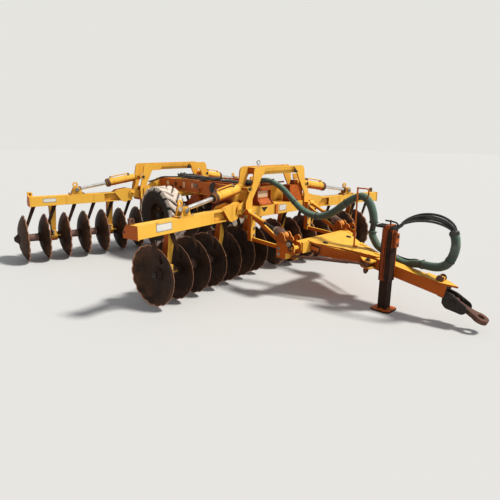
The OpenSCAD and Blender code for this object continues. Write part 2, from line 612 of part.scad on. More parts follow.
module jack_leg() color("dimgray") {
    w = jack_w / 2 - 8 - fit;
    block([jack_x - w, jack_x + w], [jack_y - w, jack_y + w], [jack_foot_t, jack_high - 18 - jack_lift]);
    translate([jack_x, jack_y, 0]) linear_extrude(jack_foot_t)
        polygon(rounded([[-100, -100, 40], [100, -100, 40], [100, 100, 40], [-100, 100, 40]]));
}
module hose_pole() color("chocolate") {
    x = cross_x + 380;
    y = 6;
    base = cross_z - 380 * tan(pole_slope) + (pole_h / 2 + 12) / cos(pole_slope);
    top = base + 610;
    translate([x, y, base + 5]) cylinder(r = 9, h = top - base);
    rod_x([x, x + 100], y, top - 4, 7);
    translate([x + 100, y, top - 30]) rotate([90, 0, 0]) rotate_extrude(angle = 90) translate([26, 0]) circle(r = 7, $fn = 16);
    on_pole() translate([(x - cross_x) / cos(pole_slope) + 2, y, pole_h / 2 + 12]) cylinder(r = 26, h = 10);
}
clevis_s = pole_l + 78;
clevis_drop = 76;
clevis_pin = [cross_x + clevis_s * cos(pole_slope) - clevis_drop * sin(pole_slope),
    cross_z - clevis_s * sin(pole_slope) - clevis_drop * cos(pole_slope)];
module clevis() color("dimgray") {
    on_pole() block([pole_l - 60, pole_l - 20], [-pole_w / 2, pole_w / 2], [-pole_h / 2 - 6, pole_h / 2 - 6]);
    on_pole() for (y = [-56, 34]) side_plate(y, 22, rounded([[pole_l - 20, -pole_h / 2, 0], [pole_l - 10, -124, 24],
        [pole_l + 90, -138, 50], [pole_l + 128, -70, 50], [pole_l + 70, -4, 30], [pole_l - 20, 6, 0]]));
    rod_y(clevis_pin[0], [-66, 66], clevis_pin[1], 19);
}
eye_drop = 22;
eye_reach = 242;
module tow_eye() color("saddlebrown") translate([clevis_pin[0], 0, clevis_pin[1]]) rotate([0, eye_drop, 0]) difference() {
    union() {
        rod_y(0, [-31, 31], 0, 38);
        block([0, 110], [-29, 29], [-24, 24]);
        translate([0, 0, -eye_t / 2]) linear_extrude(eye_t) polygon([[90, -29], [130, -34], [eye_reach - 30, -eye_r + 14],
            [eye_reach - 30, eye_r - 14], [130, 34], [90, 29]]);
        translate([eye_reach, 0, -eye_t / 2]) cylinder(r = eye_r, h = eye_t);
    }
    rod_y(0, [-40, 40], 0, 19 + fit);
    translate([eye_reach, 0, -eye_t]) cylinder(r = eye_hole_r, h = 2 * eye_t);
}

// Hoses. Their points are chosen by hand along the loose run that each one takes.

sleeve_r = 40;
rear_sleeve_path = [[-68, -238, 1102], [32, -238, 1114], [132, -238, 1138], [222, -236, 1152], [302, -228, 1148],
    [382, -208, 1118], [452, -180, 1070], [512, -150, 1004], [572, -118, 932], [632, -92, 872], [702, -70, 828],
    [782, -50, 802], [872, -28, 796], [962, -8, 822], [1042, 10, 872], [1122, 28, 938], [1202, 46, 1000],
    [1282, 62, 1042], [1342, 68, 1046], [1397, 72, 1005], [1437, 77, 935], [1458, 80, 865],
    [1464, 82, 815], [1464, 82, 785]];
front_sleeve_path = [[1448, 98, 705], [1448, 98, 690], [1454, 101, 655], [1474, 106, 615], [1512, 112, 562], [1567, 116, 528], [1632, 118, 500],
    [1712, 114, 466], [1792, 108, 440], [1862, 104, 436], [1932, 88, 458], [2002, 56, 474], [2072, 26, 482],
    [2142, 8, 488], [2207, 0, 502], [2262, -3, 534], [2298, -4, 588], [2318, -4, 652], [2326, -6, 720],
    [2318, -8, 780], [2300, -8, 832]];
tail_r = 11;
tail_path = [[2296, -8, 848], [2286, -9, 868], [2260, -12, 892], [2214, -18, 916], [2152, -28, 934], [2082, -42, 940],
    [2002, -62, 932], [1932, -84, 908], [1872, -100, 872], [1846, jack_y + 8, coupling_z + 2], [1816, jack_y + 8, coupling_z]];
// Each hose of the tail leaves the sleeve beside the others and runs to its own coupling
function tail_line(i) = [for (k = [0:len(tail_path) - 1]) let (f = k / (len(tail_path) - 1), side = i % 2 * 2 - 1, row = i < 2 ? -1 : 1)
    tail_path[k] + (1 - f) * [row * 13, side * 13, 3] + f * [0, coupling_y[i] - jack_y - 8, 0]];
link_path = [[1464, 82, 785], [1464, 82, 772], [1456, 90, 745], [1448, 98, 718], [1448, 98, 705]];
module rear_sleeve() color("seagreen") tube(rear_sleeve_path, sleeve_r, 10);
module front_sleeve() color("seagreen") tube(front_sleeve_path, sleeve_r, 10);
module tail_hoses() color("black") for (i = [0:3]) tube(tail_line(i), tail_r, 6);
module link_hoses() color("black") for (i = [0:3])
    tube([for (p = link_path) p + [i < 2 ? -13 : 13, i % 2 * 26 - 13, 0]], tail_r, 6);
module frame_hoses() color("black") for (y = [-60, 0, 60])
    rod_x([arch_x[1] + arch_ahead + 2 * arch_t + 280, arch_x[0] - arch_behind - 2 * arch_t - 240], y, cross_top + 13.3, 13);

centre_frame();
front_frame();
rear_frame();
centre_scrapers();
wing_beam(FRONT, RIGHT);  // wing_front_right
wing_beam(FRONT, LEFT);  // wing_front_left
wing_beam(REAR, RIGHT);  // wing_rear_right
wing_beam(REAR, LEFT);  // wing_rear_left
wing_scrapers(FRONT, RIGHT);  // scrapers_front_right
wing_scrapers(FRONT, LEFT);  // scrapers_front_left
wing_scrapers(REAR, RIGHT);  // scrapers_rear_right
wing_scrapers(REAR, LEFT);  // scrapers_rear_left
steel_gang(FRONT, RIGHT, 0, wing_discs[0]);  // gang_front_right
steel_gang(FRONT, LEFT, 0, wing_discs[0]);  // gang_front_left
steel_gang(REAR, RIGHT, 0, wing_discs[1]);  // gang_rear_right
steel_gang(REAR, LEFT, 0, wing_discs[1]);  // gang_rear_left
steel_gang(FRONT, RIGHT, wing_discs[0], centre_discs);  // centre_gang_front_right
steel_gang(FRONT, LEFT, wing_discs[0], centre_discs);  // centre_gang_front_left
steel_gang(REAR, RIGHT, wing_discs[1], centre_discs);  // centre_gang_rear_right
steel_gang(REAR, LEFT, wing_discs[1], centre_discs);  // centre_gang_rear_left
ram_barrel(FRONT, RIGHT);  // ram_barrel_front_right
ram_barrel(FRONT, LEFT);  // ram_barrel_front_left
ram_barrel(REAR, RIGHT);  // ram_barrel_rear_right
ram_barrel(REAR, LEFT);  // ram_barrel_rear_left
ram_rod(FRONT, RIGHT);  // ram_rod_front_right
ram_rod(FRONT, LEFT);  // ram_rod_front_left
ram_rod(REAR, RIGHT);  // ram_rod_rear_right
ram_rod(REAR, LEFT);  // ram_rod_rear_left
wheel_axle();
wheel(RIGHT);  // wheel_right
wheel(LEFT);  // wheel_left
tyre(RIGHT);  // tyre_right
tyre(LEFT);  // tyre_left
shelf_box();
plain_box();
reflector();
hitch_links();
drawbar();
stay_rod();
jack_tube();
jack_leg();
hose_pole();
clevis();
tow_eye();
rear_sleeve();
front_sleeve();
tail_hoses();
link_hoses();
couplings();
frame_hoses();
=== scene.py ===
"""Looks of a trailed tandem disc harrow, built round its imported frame.

Metres, +X towards the tow eye, +Y to the machine's left, +Z up, ground at z = 0.
A shape is a pair: an array of points and a list of faces that number them.
"""
import json
import math

import bpy
import numpy as np
from mathutils import Matrix, Vector


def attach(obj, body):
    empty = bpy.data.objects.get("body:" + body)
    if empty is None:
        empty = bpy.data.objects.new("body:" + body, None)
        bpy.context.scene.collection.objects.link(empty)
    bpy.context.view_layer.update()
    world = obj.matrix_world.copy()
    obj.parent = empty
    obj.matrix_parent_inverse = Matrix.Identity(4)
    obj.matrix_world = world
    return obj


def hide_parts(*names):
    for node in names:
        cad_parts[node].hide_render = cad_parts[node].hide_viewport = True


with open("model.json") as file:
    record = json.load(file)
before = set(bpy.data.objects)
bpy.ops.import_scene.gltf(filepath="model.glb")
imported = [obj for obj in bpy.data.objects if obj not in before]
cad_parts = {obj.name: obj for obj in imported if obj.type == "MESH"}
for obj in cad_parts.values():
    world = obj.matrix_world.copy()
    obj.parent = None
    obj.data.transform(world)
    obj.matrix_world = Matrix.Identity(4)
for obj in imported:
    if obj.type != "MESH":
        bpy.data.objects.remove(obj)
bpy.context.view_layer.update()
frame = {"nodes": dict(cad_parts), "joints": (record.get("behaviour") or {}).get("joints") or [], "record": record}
JOINTS = {j["name"]: j for j in frame["joints"]}
X, Y, Z = np.eye(3)


# Camera

def added(name, data):
    """Object of some data, put in the scene."""
    obj = bpy.data.objects.new(name, data)
    bpy.context.scene.collection.objects.link(obj)
    return obj


def look(position, heading, dip, roll, focal, middle_row, size=500):
    """Camera at a point, its heading from +X, its dip below level and its roll in radians.
    focal is in pixels of a picture size pixels wide, and middle_row is the row its axis meets."""
    level = math.cos(dip)
    ahead = np.array([level * math.cos(heading), level * math.sin(heading), -math.sin(dip)])
    right = np.cross(ahead, Z)
    right /= np.linalg.norm(right)
    up = np.cross(right, ahead)
    across = right * math.cos(roll) + up * math.sin(roll)
    over = up * math.cos(roll) - right * math.sin(roll)
    data = bpy.data.cameras.new("camera")
    data.sensor_width = 36
    data.lens = 36 * focal / size
    data.shift_y = (middle_row - size / 2) / size
    data.clip_start = 0.05
    camera = added("camera", data)
    rows = zip(np.array([across, over, -ahead]).T, position)
    camera.matrix_world = Matrix([[*row, p] for row, p in rows] + [[0, 0, 0, 1]])
    bpy.context.scene.camera = camera


look((3.725, -3.871, 1.602), 2.3697, 0.2438, 0.0098, 436.2, 248.2)


# Shader sums and finishes

def summed(kind, swapped=False):
    """Method that adds one Math node for a socket and another value, the other first where swapped."""
    def run(self, other=None):
        pair = (other, self) if swapped else (self, other)
        return self.finish.node("Math", {"operation": kind}, dict(enumerate(pair)))
    return run


class Wire:
    """A socket on its way through a shader. A sum written with it adds the nodes that work it out."""

    def __init__(self, finish, socket):
        self.finish, self.socket = finish, socket

    __add__ = __radd__ = summed("ADD")
    __sub__, __rsub__ = summed("SUBTRACT"), summed("SUBTRACT", True)
    __mul__ = __rmul__ = summed("MULTIPLY")
    most, sine = summed("MAXIMUM"), summed("SINE")

    def step(self, low, high):
        """Smooth step from 0 at low to 1 at high."""
        return self.finish.node("MapRange", {"interpolation_type": "SMOOTHSTEP"},
                                {"Value": self, "From Min": low, "From Max": high})


class Tree:
    """Nodes of a material or of the world, with one method for any node."""

    def __init__(self, tree):
        self.nodes, self.links = tree.nodes, tree.links

    def feed(self, socket, value):
        if isinstance(value, Wire):
            self.links.new(value.socket, socket)
        elif value is not None:
            socket.default_value = value

    def node(self, kind, settings, sockets, out=0):
        """Node of a kind, its settings made first, then its sockets fed with values or wires."""
        made = self.nodes.new("ShaderNode" + kind)
        for key, value in settings.items():
            setattr(made, key, value)
        for key, value in sockets.items():
            self.feed(made.inputs[key], value)
        return Wire(self, made.outputs[out])


class Finish(Tree):
    """One material."""

    def __init__(self, name, **fixed):
        self.material = bpy.data.materials.new(name)
        self.material.use_nodes = True
        super().__init__(self.material.node_tree)
        self.shader = self.nodes["Principled BSDF"]
        for socket, value in fixed.items():
            self.shader.inputs[socket.replace("_", " ")].default_value = value
        self.place = self.node("TexCoord", {}, {}, out="Object")

    def noise(self, scale, detail=3, rough=0.55, stretch=None):
        """Cloudy pattern of about scale lumps a metre, its place stretched first where asked."""
        place = self.place
        if stretch:
            place = self.node("Mapping", {}, {"Vector": place, "Scale": stretch})
        return self.node("TexNoise", {}, {"Vector": place, "Scale": scale, "Detail": detail,
                                          "Roughness": rough})

    def mix(self, share, low, high, way="MIX"):
        """Blend of two colours, each a wire or the 0 to 255 of a picture."""
        low, high = [c if isinstance(c, Wire) else hue(*c) for c in (low, high)]
        return self.node("Mix", {"data_type": "RGBA", "blend_type": way}, {0: share, 6: low, 7: high}, out=2)

    def skin(self, part):
        """One part, 0 to 2, of the pattern coordinates that a piece carries."""
        found = self.node("Attribute", {"attribute_name": "skin"}, {}, out="Vector")
        return self.node("SeparateXYZ", {}, {0: found}, out=part)

    def dot(self, one, other):
        """Cosine of the angle between two unit vectors."""
        return self.node("VectorMath", {"operation": "DOT_PRODUCT"}, {0: one, 1: other}, out="Value")

    def facing(self, way):
        """How far the surface faces a direction, from its own normal, so that poses don't change it."""
        normal = self.node("TexCoord", {}, {}, out="Normal")
        return self.dot(normal, way)

    def edges(self, width):
        """1 along sharp edges, from how far a rounded normal leaves the true one."""
        soft = self.node("Bevel", {"samples": 4}, {"Radius": width})
        true = self.node("NewGeometry", {}, {}, out="True Normal")
        return (1 - self.dot(soft, true)).step(0.02, 0.2), soft

    def wear(self, colour, rough=None, metal=None, height=None, depth=0.001, normal=None):
        """Colour, roughness, metal and bump on the shader's own sockets."""
        self.feed(self.shader.inputs["Base Color"], colour)
        self.feed(self.shader.inputs["Roughness"], rough)
        self.feed(self.shader.inputs["Metallic"], metal)
        if height is not None:
            normal = self.node("Bump", {}, {"Strength": 1.0, "Distance": depth, "Height": height,
                                            "Normal": normal})
        self.feed(self.shader.inputs["Normal"], normal)
        return self.material


def hue(red, green, blue):
    """Colour in the shader's own scale from the 0 to 255 of a picture."""
    return tuple((c / 255 / 12.92 if c < 10.4 else ((c / 255 + 0.055) / 1.055) ** 2.4)
                 for c in (red, green, blue)) + (1.0,)


def paint(name, sunny, shaded, rust, chips, dirt):
    """Outdoor paint: the sunny colour is painted light on faces turned to the key light, the shaded one painted
    shade on the rest, with stains that run down, chips to rusty steel along the edges and darker brown in the
    hollows: painted shade from ambient occlusion, with mud."""
    f = Finish(name, Specular_IOR_Level=0.2)
    edge, soft = f.edges(0.004)
    # sun: share of the sunny colour by how far a face turns to the key light, painted light and shade
    sun = (f.facing((0.5, 0.22, 0.75)) + f.noise(3.1) * 0.3).step(0.1, 0.62)
    fine, broad = f.noise(55, 5, 0.7), f.noise(4.3, 4)
    runs = f.noise(1, 5, 0.6, (16, 16, 1.6)).step(0.56, 0.78)
    colour = f.mix(sun, shaded, sunny)
    colour = f.mix(broad * 0.35, colour, f.mix(1.0, colour, (214, 176, 120), "MULTIPLY"))
    colour = f.mix(runs * dirt, colour, f.mix(1.0, colour, (150, 92, 52), "MULTIPLY"))
    # Darker brown where ambient occlusion finds hollows: painted shade, with mud in it
    hollow = f.node("AmbientOcclusion", {"samples": 4, "only_local": True}, {"Distance": 0.06}, out="AO")
    hollow_shade_and_mud = ((1 - hollow) * 1.3 + broad * 0.5 - 0.25).step(0.2, 0.75) * dirt
    colour = f.mix(hollow_shade_and_mud, colour, (92, 56, 30))
    bare = (edge * 0.55 + fine * 0.9 - (1 - chips) * 0.62).step(0.35, 0.46)
    spots = (f.noise(23, 6, 0.75) + broad * 0.25).step(0.86 - 0.1 * chips, 0.95 - 0.1 * chips)
    bare = bare.most(spots)
    colour = f.mix(bare, colour, f.mix(fine, rust, (62, 34, 22)))
    rough = 0.48 + fine * 0.14 + bare * 0.3 + hollow_shade_and_mud * 0.2
    return f.wear(colour, rough, None, fine * 0.4 - bare, 0.0008, soft)


def steel(name, low, high, rough, metal, edge_wear_and_glint=None, depth=0.0012, **fixed):
    """Steel from one colour to another by cloudy rust, with paler edges where an edge colour is given: worn bare
    steel and a painted glint.
    """
    f = Finish(name, **fixed)
    edge, soft = f.edges(0.003)
    cloud, grain = f.noise(9, 5, 0.65), f.noise(90, 4, 0.6)
    colour = f.mix((cloud * 1.4 + grain * 0.5 - 0.45).step(0.1, 0.95), low, high)
    # Paler broken line along sharp edges: worn bare steel and a painted glint
    if edge_wear_and_glint:
        colour = f.mix(edge * 0.7 * grain.step(0.3, 0.7), colour, edge_wear_and_glint)
    return f.wear(colour, rough + cloud * 0.18, metal, grain + cloud * 0.5, depth, soft)


def disc_steel():
    """Dark brown weathered disc: skin x runs 0 at the hub to 1 at the rim, y is the turn in radians.
    Soil-worn rings follow the turn, and a narrow rim is paler: scoured bare steel and a painted highlight where
    light catches the edge."""
    f = Finish("disc steel", Metallic=0.08, Specular_IOR_Level=0.22)
    out = f.skin(0)
    cloud, grain = f.noise(7, 6, 0.7), f.noise(120, 4, 0.7)
    rings = (out * 95 + cloud * 5).sine() * 0.5 + 0.5
    colour = f.mix((cloud * 1.5 - 0.3).step(0.15, 0.9), (38, 25, 17), (78, 50, 32))
    colour = f.mix(rings * 0.22 + grain * 0.25, colour, (34, 22, 16))
    colour = f.mix(out.step(0.55, 0.97) * cloud.step(0.35, 0.7) * 0.7, colour, (104, 70, 48))
    # Narrow paler rim: scoured bare steel and a painted highlight of light on the edge
    colour = f.mix(out.step(0.962, 0.985) * 0.8, colour, (206, 148, 114))
    return f.wear(colour, 0.62 - out.step(0.95, 1.0) * 0.22 + grain * 0.1, None, grain + rings * 0.3, 0.001)


def rubber(name, low, high, rough=0.6, depth=0.001):
    """Black rubber with dust: low in its hollows, high where it has rubbed or caught dust."""
    f = Finish(name, Specular_IOR_Level=0.4)
    cloud, grain = f.noise(12, 5, 0.65), f.noise(160, 3)
    colour = f.mix((cloud * 1.3 + grain * 0.3 - 0.35).step(0.2, 0.9), low, high)
    return f.wear(colour, rough + grain * 0.15, None, grain + cloud, depth)


def tread_rubber():
    """Tyre: skin x is 1 on the lug faces and 0 in the grooves, y the share of the way to the tread."""
    f = Finish("tyre rubber", Specular_IOR_Level=0.25)
    lug, side = f.skin(0), f.skin(1)
    cloud, grain = f.noise(11, 6, 0.7), f.noise(140, 4, 0.6)
    dust = (lug * 0.7 + cloud * 0.6 - 0.15).step(0.2, 0.7) * side.step(0.62, 0.86)
    dark = f.mix(cloud, (32, 25, 22), (58, 47, 41))
    tan = f.mix((cloud + grain * 0.5 - 0.25).step(0.2, 0.9), (204, 186, 168), (250, 238, 224))
    return f.wear(f.mix(dust, dark, tan), 0.85, None, grain + cloud, 0.0014)


WEAVE = 2094  # radians a metre: one thread every 3 mm


def sleeve_cloth():
    """Woven hose sleeve: skin x is metres along it, skin y metres round it. The weave is
    sin(WEAVE x) * sin(WEAVE y). Its green is lighter on faces turned to the key light and darker on the rest,
    painted light and shade, with paler patches on the lit side: rubbed wear and a painted sheen."""
    f = Finish("sleeve cloth", Specular_IOR_Level=0.5)
    along, round_ = f.skin(0), f.skin(1)
    weave = (along * WEAVE).sine() * (round_ * WEAVE).sine()
    # sun: share of the lighter green by how far a face turns to the key light, painted light and shade
    sun = (f.facing((0.35, 0.3, 0.8)) + f.noise(6) * 0.4).step(0.0, 1.0)
    cloud = f.noise(5, 5, 0.6)
    colour = f.mix(sun, (52, 66, 56), (96, 136, 112))
    colour = f.mix(weave * 0.12 + 0.12, colour, (40, 50, 44))
    # Paler patches weighted to the lit side: rubbed wear and a painted sheen
    colour = f.mix((cloud + sun * 0.2).step(0.55, 0.8) * 0.35, colour, (150, 152, 136))
    return f.wear(colour, 0.5 + weave * 0.06, None, weave * 0.3 + cloud, 0.002)


def plain(name, colour, rough, **fixed):
    """Small even finish with a faint cloud of dirt in it."""
    f = Finish(name, **fixed)
    cloud = f.noise(30, 4, 0.6)
    return f.wear(f.mix(cloud.step(0.4, 0.8) * 0.25, colour, [c * 0.72 for c in colour]),
                  rough + cloud * 0.1, None, cloud, 0.0004)


# Paints: first colour painted light, second painted shade, then rust, chips and the weight of stains and darker
# hollows
YELLOW = paint("yellow paint", (254, 198, 78), (182, 86, 12), (104, 54, 30), 0.25, 0.45)
ORANGE = paint("weathered orange paint", (214, 124, 56), (190, 96, 34), (84, 44, 26), 0.5, 0.9)
RUSTY_ORANGE = paint("rusty orange paint", (204, 102, 30), (140, 58, 12), (52, 30, 20), 0.8, 0.9)
# The wheels' dark brown stands for the shade they sit in: painted shade
WHEEL_IN_PAINTED_SHADE = paint("wheel paint", (66, 46, 34), (46, 32, 24), (48, 34, 26), 0.7, 1.0)
CASTING = paint("orange casting paint", (240, 156, 70), (156, 74, 18), (84, 46, 30), 0.45, 0.8)
DISC_STEEL = disc_steel()
SPOOL_STEEL = steel("spool steel", (92, 64, 54), (158, 122, 108), 0.65, 0.1)
# Darker copy of the spool steel for the discs' flange rings: painted shade
SHADE_DARKENED_FLANGE_STEEL = steel("hub steel", (40, 28, 22), (74, 52, 42), 0.65, 0.1, Specular_IOR_Level=0.25)
SLOT_STEEL = steel("shadowed slot steel", (26, 17, 12), (64, 38, 24), 0.75, 0.1, Specular_IOR_Level=0.2)
# Black and rusty steel carry an edge colour: worn bare steel and a painted glint
BLACK_STEEL = steel("black steel", (25, 21, 19), (54, 43, 36), 0.55, 0.1, (120, 96, 78),
                    Specular_IOR_Level=0.3)
RUSTY_STEEL = steel("rusty steel", (62, 38, 30), (122, 78, 58), 0.62, 0.3, (150, 116, 96))
BOLT_STEEL = steel("bolt steel", (108, 92, 78), (176, 162, 148), 0.42, 0.6, depth=0.0003)
ZINC = steel("dull plated steel", (112, 106, 98), (164, 158, 150), 0.42, 0.7, depth=0.0003)
CHROME = steel("piston chrome", (196, 192, 190), (232, 230, 228), 0.12, 0.95, depth=0.0001)
TREAD = tread_rubber()
HOSE = rubber("hose rubber", (26, 26, 26), (74, 72, 68), 0.42)
BELLOWS = rubber("dusty bellows rubber", (92, 64, 52), (160, 124, 106), 0.75)
SLEEVE = sleeve_cloth()
WHITE = plain("white plate", (232, 230, 222), 0.45)
GREY = plain("grey border", (168, 164, 156), 0.5)
RAIL_PLATE = plain("dusty plate", (228, 194, 154), 0.6)
# Near black for the insides of holes, window openings and recesses: painted shade
OPENING_SHADE = plain("dark opening", (34, 22, 14), 0.8)
LENS = plain("white reflector", (222, 224, 224), 0.2)

SLOT_FINISH = {"yellow_paint": YELLOW, "weathered_paint": ORANGE, "wheel_paint": WHEEL_IN_PAINTED_SHADE,
               "worn_steel": DISC_STEEL, "black_steel": BLACK_STEEL, "rusty_steel": RUSTY_STEEL,
               "chrome": CHROME, "zinc": ZINC, "tyre": TREAD, "sleeve": SLEEVE, "hose": HOSE,
               "white_plastic": LENS}
# Nodes whose finish isn't that of their slot
OWN_FINISH = {"jack_tube": RUSTY_ORANGE, "plain_box": RUSTY_ORANGE, "shelf_box": RUSTY_ORANGE,
              "wheel_axle": RUSTY_ORANGE, "couplings": BLACK_STEEL, "jack_leg": SLOT_STEEL,
              "centre_scrapers": SLOT_STEEL}
for row in ("front", "rear"):
    for side in ("right", "left"):
        OWN_FINISH[f"scrapers_{row}_{side}"] = SLOT_STEEL
for part in frame["record"]["subparts"]:
    mesh = frame["nodes"][part["node"]].data
    mesh.materials.clear()
    mesh.materials.append(OWN_FINISH.get(part["node"]) or SLOT_FINISH[part["material_slot"]])


# Shapes

def unit(v):
    """Each row over its own length."""
    v = np.asarray(v, float)
    return v / np.linalg.norm(v, axis=-1, keepdims=True)


def square_axes(way, up=Z):
    """Two axes square to a direction: the first also square to up, the second square to both."""
    way = unit(way)
    if abs(way @ unit(up)) > 0.99:
        up = X
    side = unit(np.cross(up, way))
    return side, np.cross(way, side)


def mm(*rows):
    """Rows of millimetres as an array in metres."""
    return np.array(rows, float) / 1000


def surface(points, wrap=(False, False), caps=True):
    """Quads between neighbouring points of a grid. A wrapped way joins its last line to its first,
    and caps close the two ends of a grid that wraps the second way only."""
    rows, cols = points.shape[:2]
    index = np.arange(rows * cols).reshape(rows, cols)
    if wrap[0]:
        index = np.vstack([index, index[:1]])
    if wrap[1]:
        index = np.hstack([index, index[:, :1]])
    quads = np.stack([index[:-1, :-1], index[1:, :-1], index[1:, 1:], index[:-1, 1:]], -1)
    faces = quads.reshape(-1, 4).tolist()
    if caps and wrap == (False, True):
        faces += [index[0, :-1].tolist(), index[-1, :-1][::-1].tolist()]
    return points.reshape(-1, 3), faces


def turned(profile, centre, axis, sides=24, ring=False):
    """Solid turned round an axis from rows of (radius, distance along it):
    point = centre + distance * axis + radius * (cos a * side + sin a * up).
    A ring's profile goes round and joins its own start."""
    axis = unit(axis)
    side, up = square_axes(axis)
    out, along = np.asarray(profile, float).T[..., None, None]
    a = np.arange(sides) * 2 * np.pi / sides
    spokes = np.cos(a)[:, None] * side + np.sin(a)[:, None] * up
    return surface(np.asarray(centre, float) + along * axis + out * spokes, (ring, True), not ring)


def washer(inner, outer, thick, at, way, sides=24, start=0.0):
    """Flat ring of a square section, from start by its thickness along a way."""
    profile = [(inner, start), (outer, start), (outer, start + thick), (inner, start + thick)]
    return turned(profile, at, way, sides, True)


def drum(radius, thick, at, way, sides=20, start=0.0):
    """Plain round or many-sided block, from start by its thickness along a way."""
    return turned([(radius, start), (radius, start + thick)], at, way, sides)


def rod(start, end, radius, sides=20, chamfer=0.0015):
    """Round bar between two points, its end edges cut by a chamfer."""
    start, end = np.asarray(start, float), np.asarray(end, float)
    length = np.linalg.norm(end - start)
    c = min(chamfer, radius / 3, length / 3)
    profile = [(radius - c, 0), (radius, c), (radius, length - c), (radius - c, length)]
    return turned(profile, start, end - start, sides)


def torus(centre, axis, radius, thick, sides=40, round_=12, flat=1.0):
    """Ring of a round section: radius + thick * cos b out, thick * flat * sin b along the axis."""
    b = np.arange(round_) * 2 * np.pi / round_
    section = np.stack([radius + thick * np.cos(b), thick * flat * np.sin(b)], 1)
    return turned(section, centre, axis, sides, True)


def plate(outline, thick, origin, across, over):
    """Flat plate: outline rows (a, b) at origin + a * across + b * over, given its thickness
    along across x over."""
    across, over = np.asarray(across, float), np.asarray(over, float)
    out = unit(np.cross(across, over))
    flat = np.asarray(origin, float) + np.asarray(outline, float) @ np.array([across, over])
    return surface(np.array([flat, flat + thick * out]), (False, True))


def brick(low, high, axes=(X, Y, Z), origin=(0, 0, 0)):
    """Box between two corners, in the axes and from the origin given."""
    (x0, y0, z0), (x1, y1, z1) = low, high
    grid = np.array([[[x0, y0, z], [x1, y0, z], [x1, y1, z], [x0, y1, z]] for z in (z0, z1)])
    return surface(grid @ np.asarray(axes) + origin, (False, True))


def rounded(width, height, radius, steps=4):
    """Outline of a rectangle about its middle with round corners."""
    turn = np.linspace(0, np.pi / 2, steps + 1) + np.arange(4)[:, None] * np.pi / 2
    middles = np.array([(1, 1), (-1, 1), (-1, -1), (1, -1)]) * [width / 2 - radius, height / 2 - radius]
    return (middles[:, None] + radius * np.stack([np.cos(turn), np.sin(turn)], -1)).reshape(-1, 2)


def smooth_line(points, step):
    """Points about step apart on a Catmull-Rom curve through the given ones:
    0.5 * (2 p1 + (p2 - p0) t + (2 p0 - 5 p1 + 4 p2 - p3) t^2 + (3 p1 - p0 - 3 p2 + p3) t^3)."""
    p = np.asarray(points, float)
    p = np.vstack([2 * p[0] - p[1], p, 2 * p[-1] - p[-2]])
    out = []
    for i in range(1, len(p) - 2):
        n = max(2, int(round(np.linalg.norm(p[i + 1] - p[i]) / step)))
        t = np.linspace(0, 1, n, endpoint=False)[:, None]
        a, b, c, d = p[i - 1:i + 3]
        out.append(0.5 * (2 * b + (c - a) * t + (2 * a - 5 * b + 4 * c - d) * t ** 2
                          + (3 * b - a - 3 * c + d) * t ** 3))
    return np.vstack(out + [p[-2:-1]])


def swept(path, radius, sides=12):
    """Tube along a path. Each ring's side axis is the last one with its part along the new
    direction taken out, so the tube doesn't twist. radius is one number or an array by ring
    and by step round."""
    path = np.asarray(path, float)
    way = unit(np.gradient(path, axis=0))
    side = np.empty_like(way)
    side[0] = square_axes(way[0])[0]
    for i in range(1, len(path)):
        side[i] = unit(side[i - 1] - (side[i - 1] @ way[i]) * way[i])
    up = np.cross(way, side)
    a = (np.arange(sides) * 2 * np.pi / sides)[:, None]
    spokes = np.cos(a) * side[:, None] + np.sin(a) * up[:, None]
    r = np.broadcast_to(np.asarray(radius, float), (len(path), sides))[..., None]
    return surface(path[:, None] + r * spokes, (False, True))


def pipe(points, radius, sides=10, step=0.02):
    """Tube along a smooth curve through a few points."""
    return swept(smooth_line(points, step), radius, sides)


def outward(points, faces):
    """Faces turned outwards: six times the volume, the sum of a . (b x c) over their fans, is positive."""
    volume = 0.0
    for size in {len(f) for f in faces}:
        group = np.array([f for f in faces if len(f) == size])
        a = points[group[:, 0]]
        for k in range(1, size - 1):
            volume += np.einsum("ij,ij->i", a, np.cross(points[group[:, k]], points[group[:, k + 1]])).sum()
    return faces if volume > 0 else [f[::-1] for f in faces]


def piece(name, body, layers, bevel=0.0, sharp=38, skins=None, replaces=()):
    """One object riding on a body, from {finish: [shapes]}. skins gives the pattern coordinates
    of each shape by its place in the list, else they are the points themselves."""
    points, faces, finish, skin, count = [], [], [], [], 0
    mesh = bpy.data.meshes.new(name)
    for k, (material, shapes) in enumerate(layers.items()):
        mesh.materials.append(material)
        for n, (p, f) in enumerate(shapes):
            points.append(p)
            skin.append(p if skins is None or k else skins[n])
            faces += [[i + count for i in face] for face in outward(p, f)]
            finish += [k] * len(f)
            count += len(p)
    mesh.from_pydata(np.vstack(points).tolist(), [], faces)
    mesh.polygons.foreach_set("material_index", finish)
    mesh.polygons.foreach_set("use_smooth", [True] * len(faces))
    mesh.set_sharp_from_angle(angle=math.radians(sharp))
    if skins is not None:
        pattern = mesh.attributes.new("skin", "FLOAT_VECTOR", "POINT")
        pattern.data.foreach_set("vector", np.vstack(skin).ravel())
    obj = added(name, mesh)
    if bevel:
        cut = obj.modifiers.new("edges", "BEVEL")
        cut.width, cut.segments, cut.limit_method, cut.angle_limit = bevel, 2, "ANGLE", math.radians(40)
    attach(obj, body)
    if replaces:
        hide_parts(*replaces)
    return obj


# Hoses and their sleeves, along the same points as in the part's source

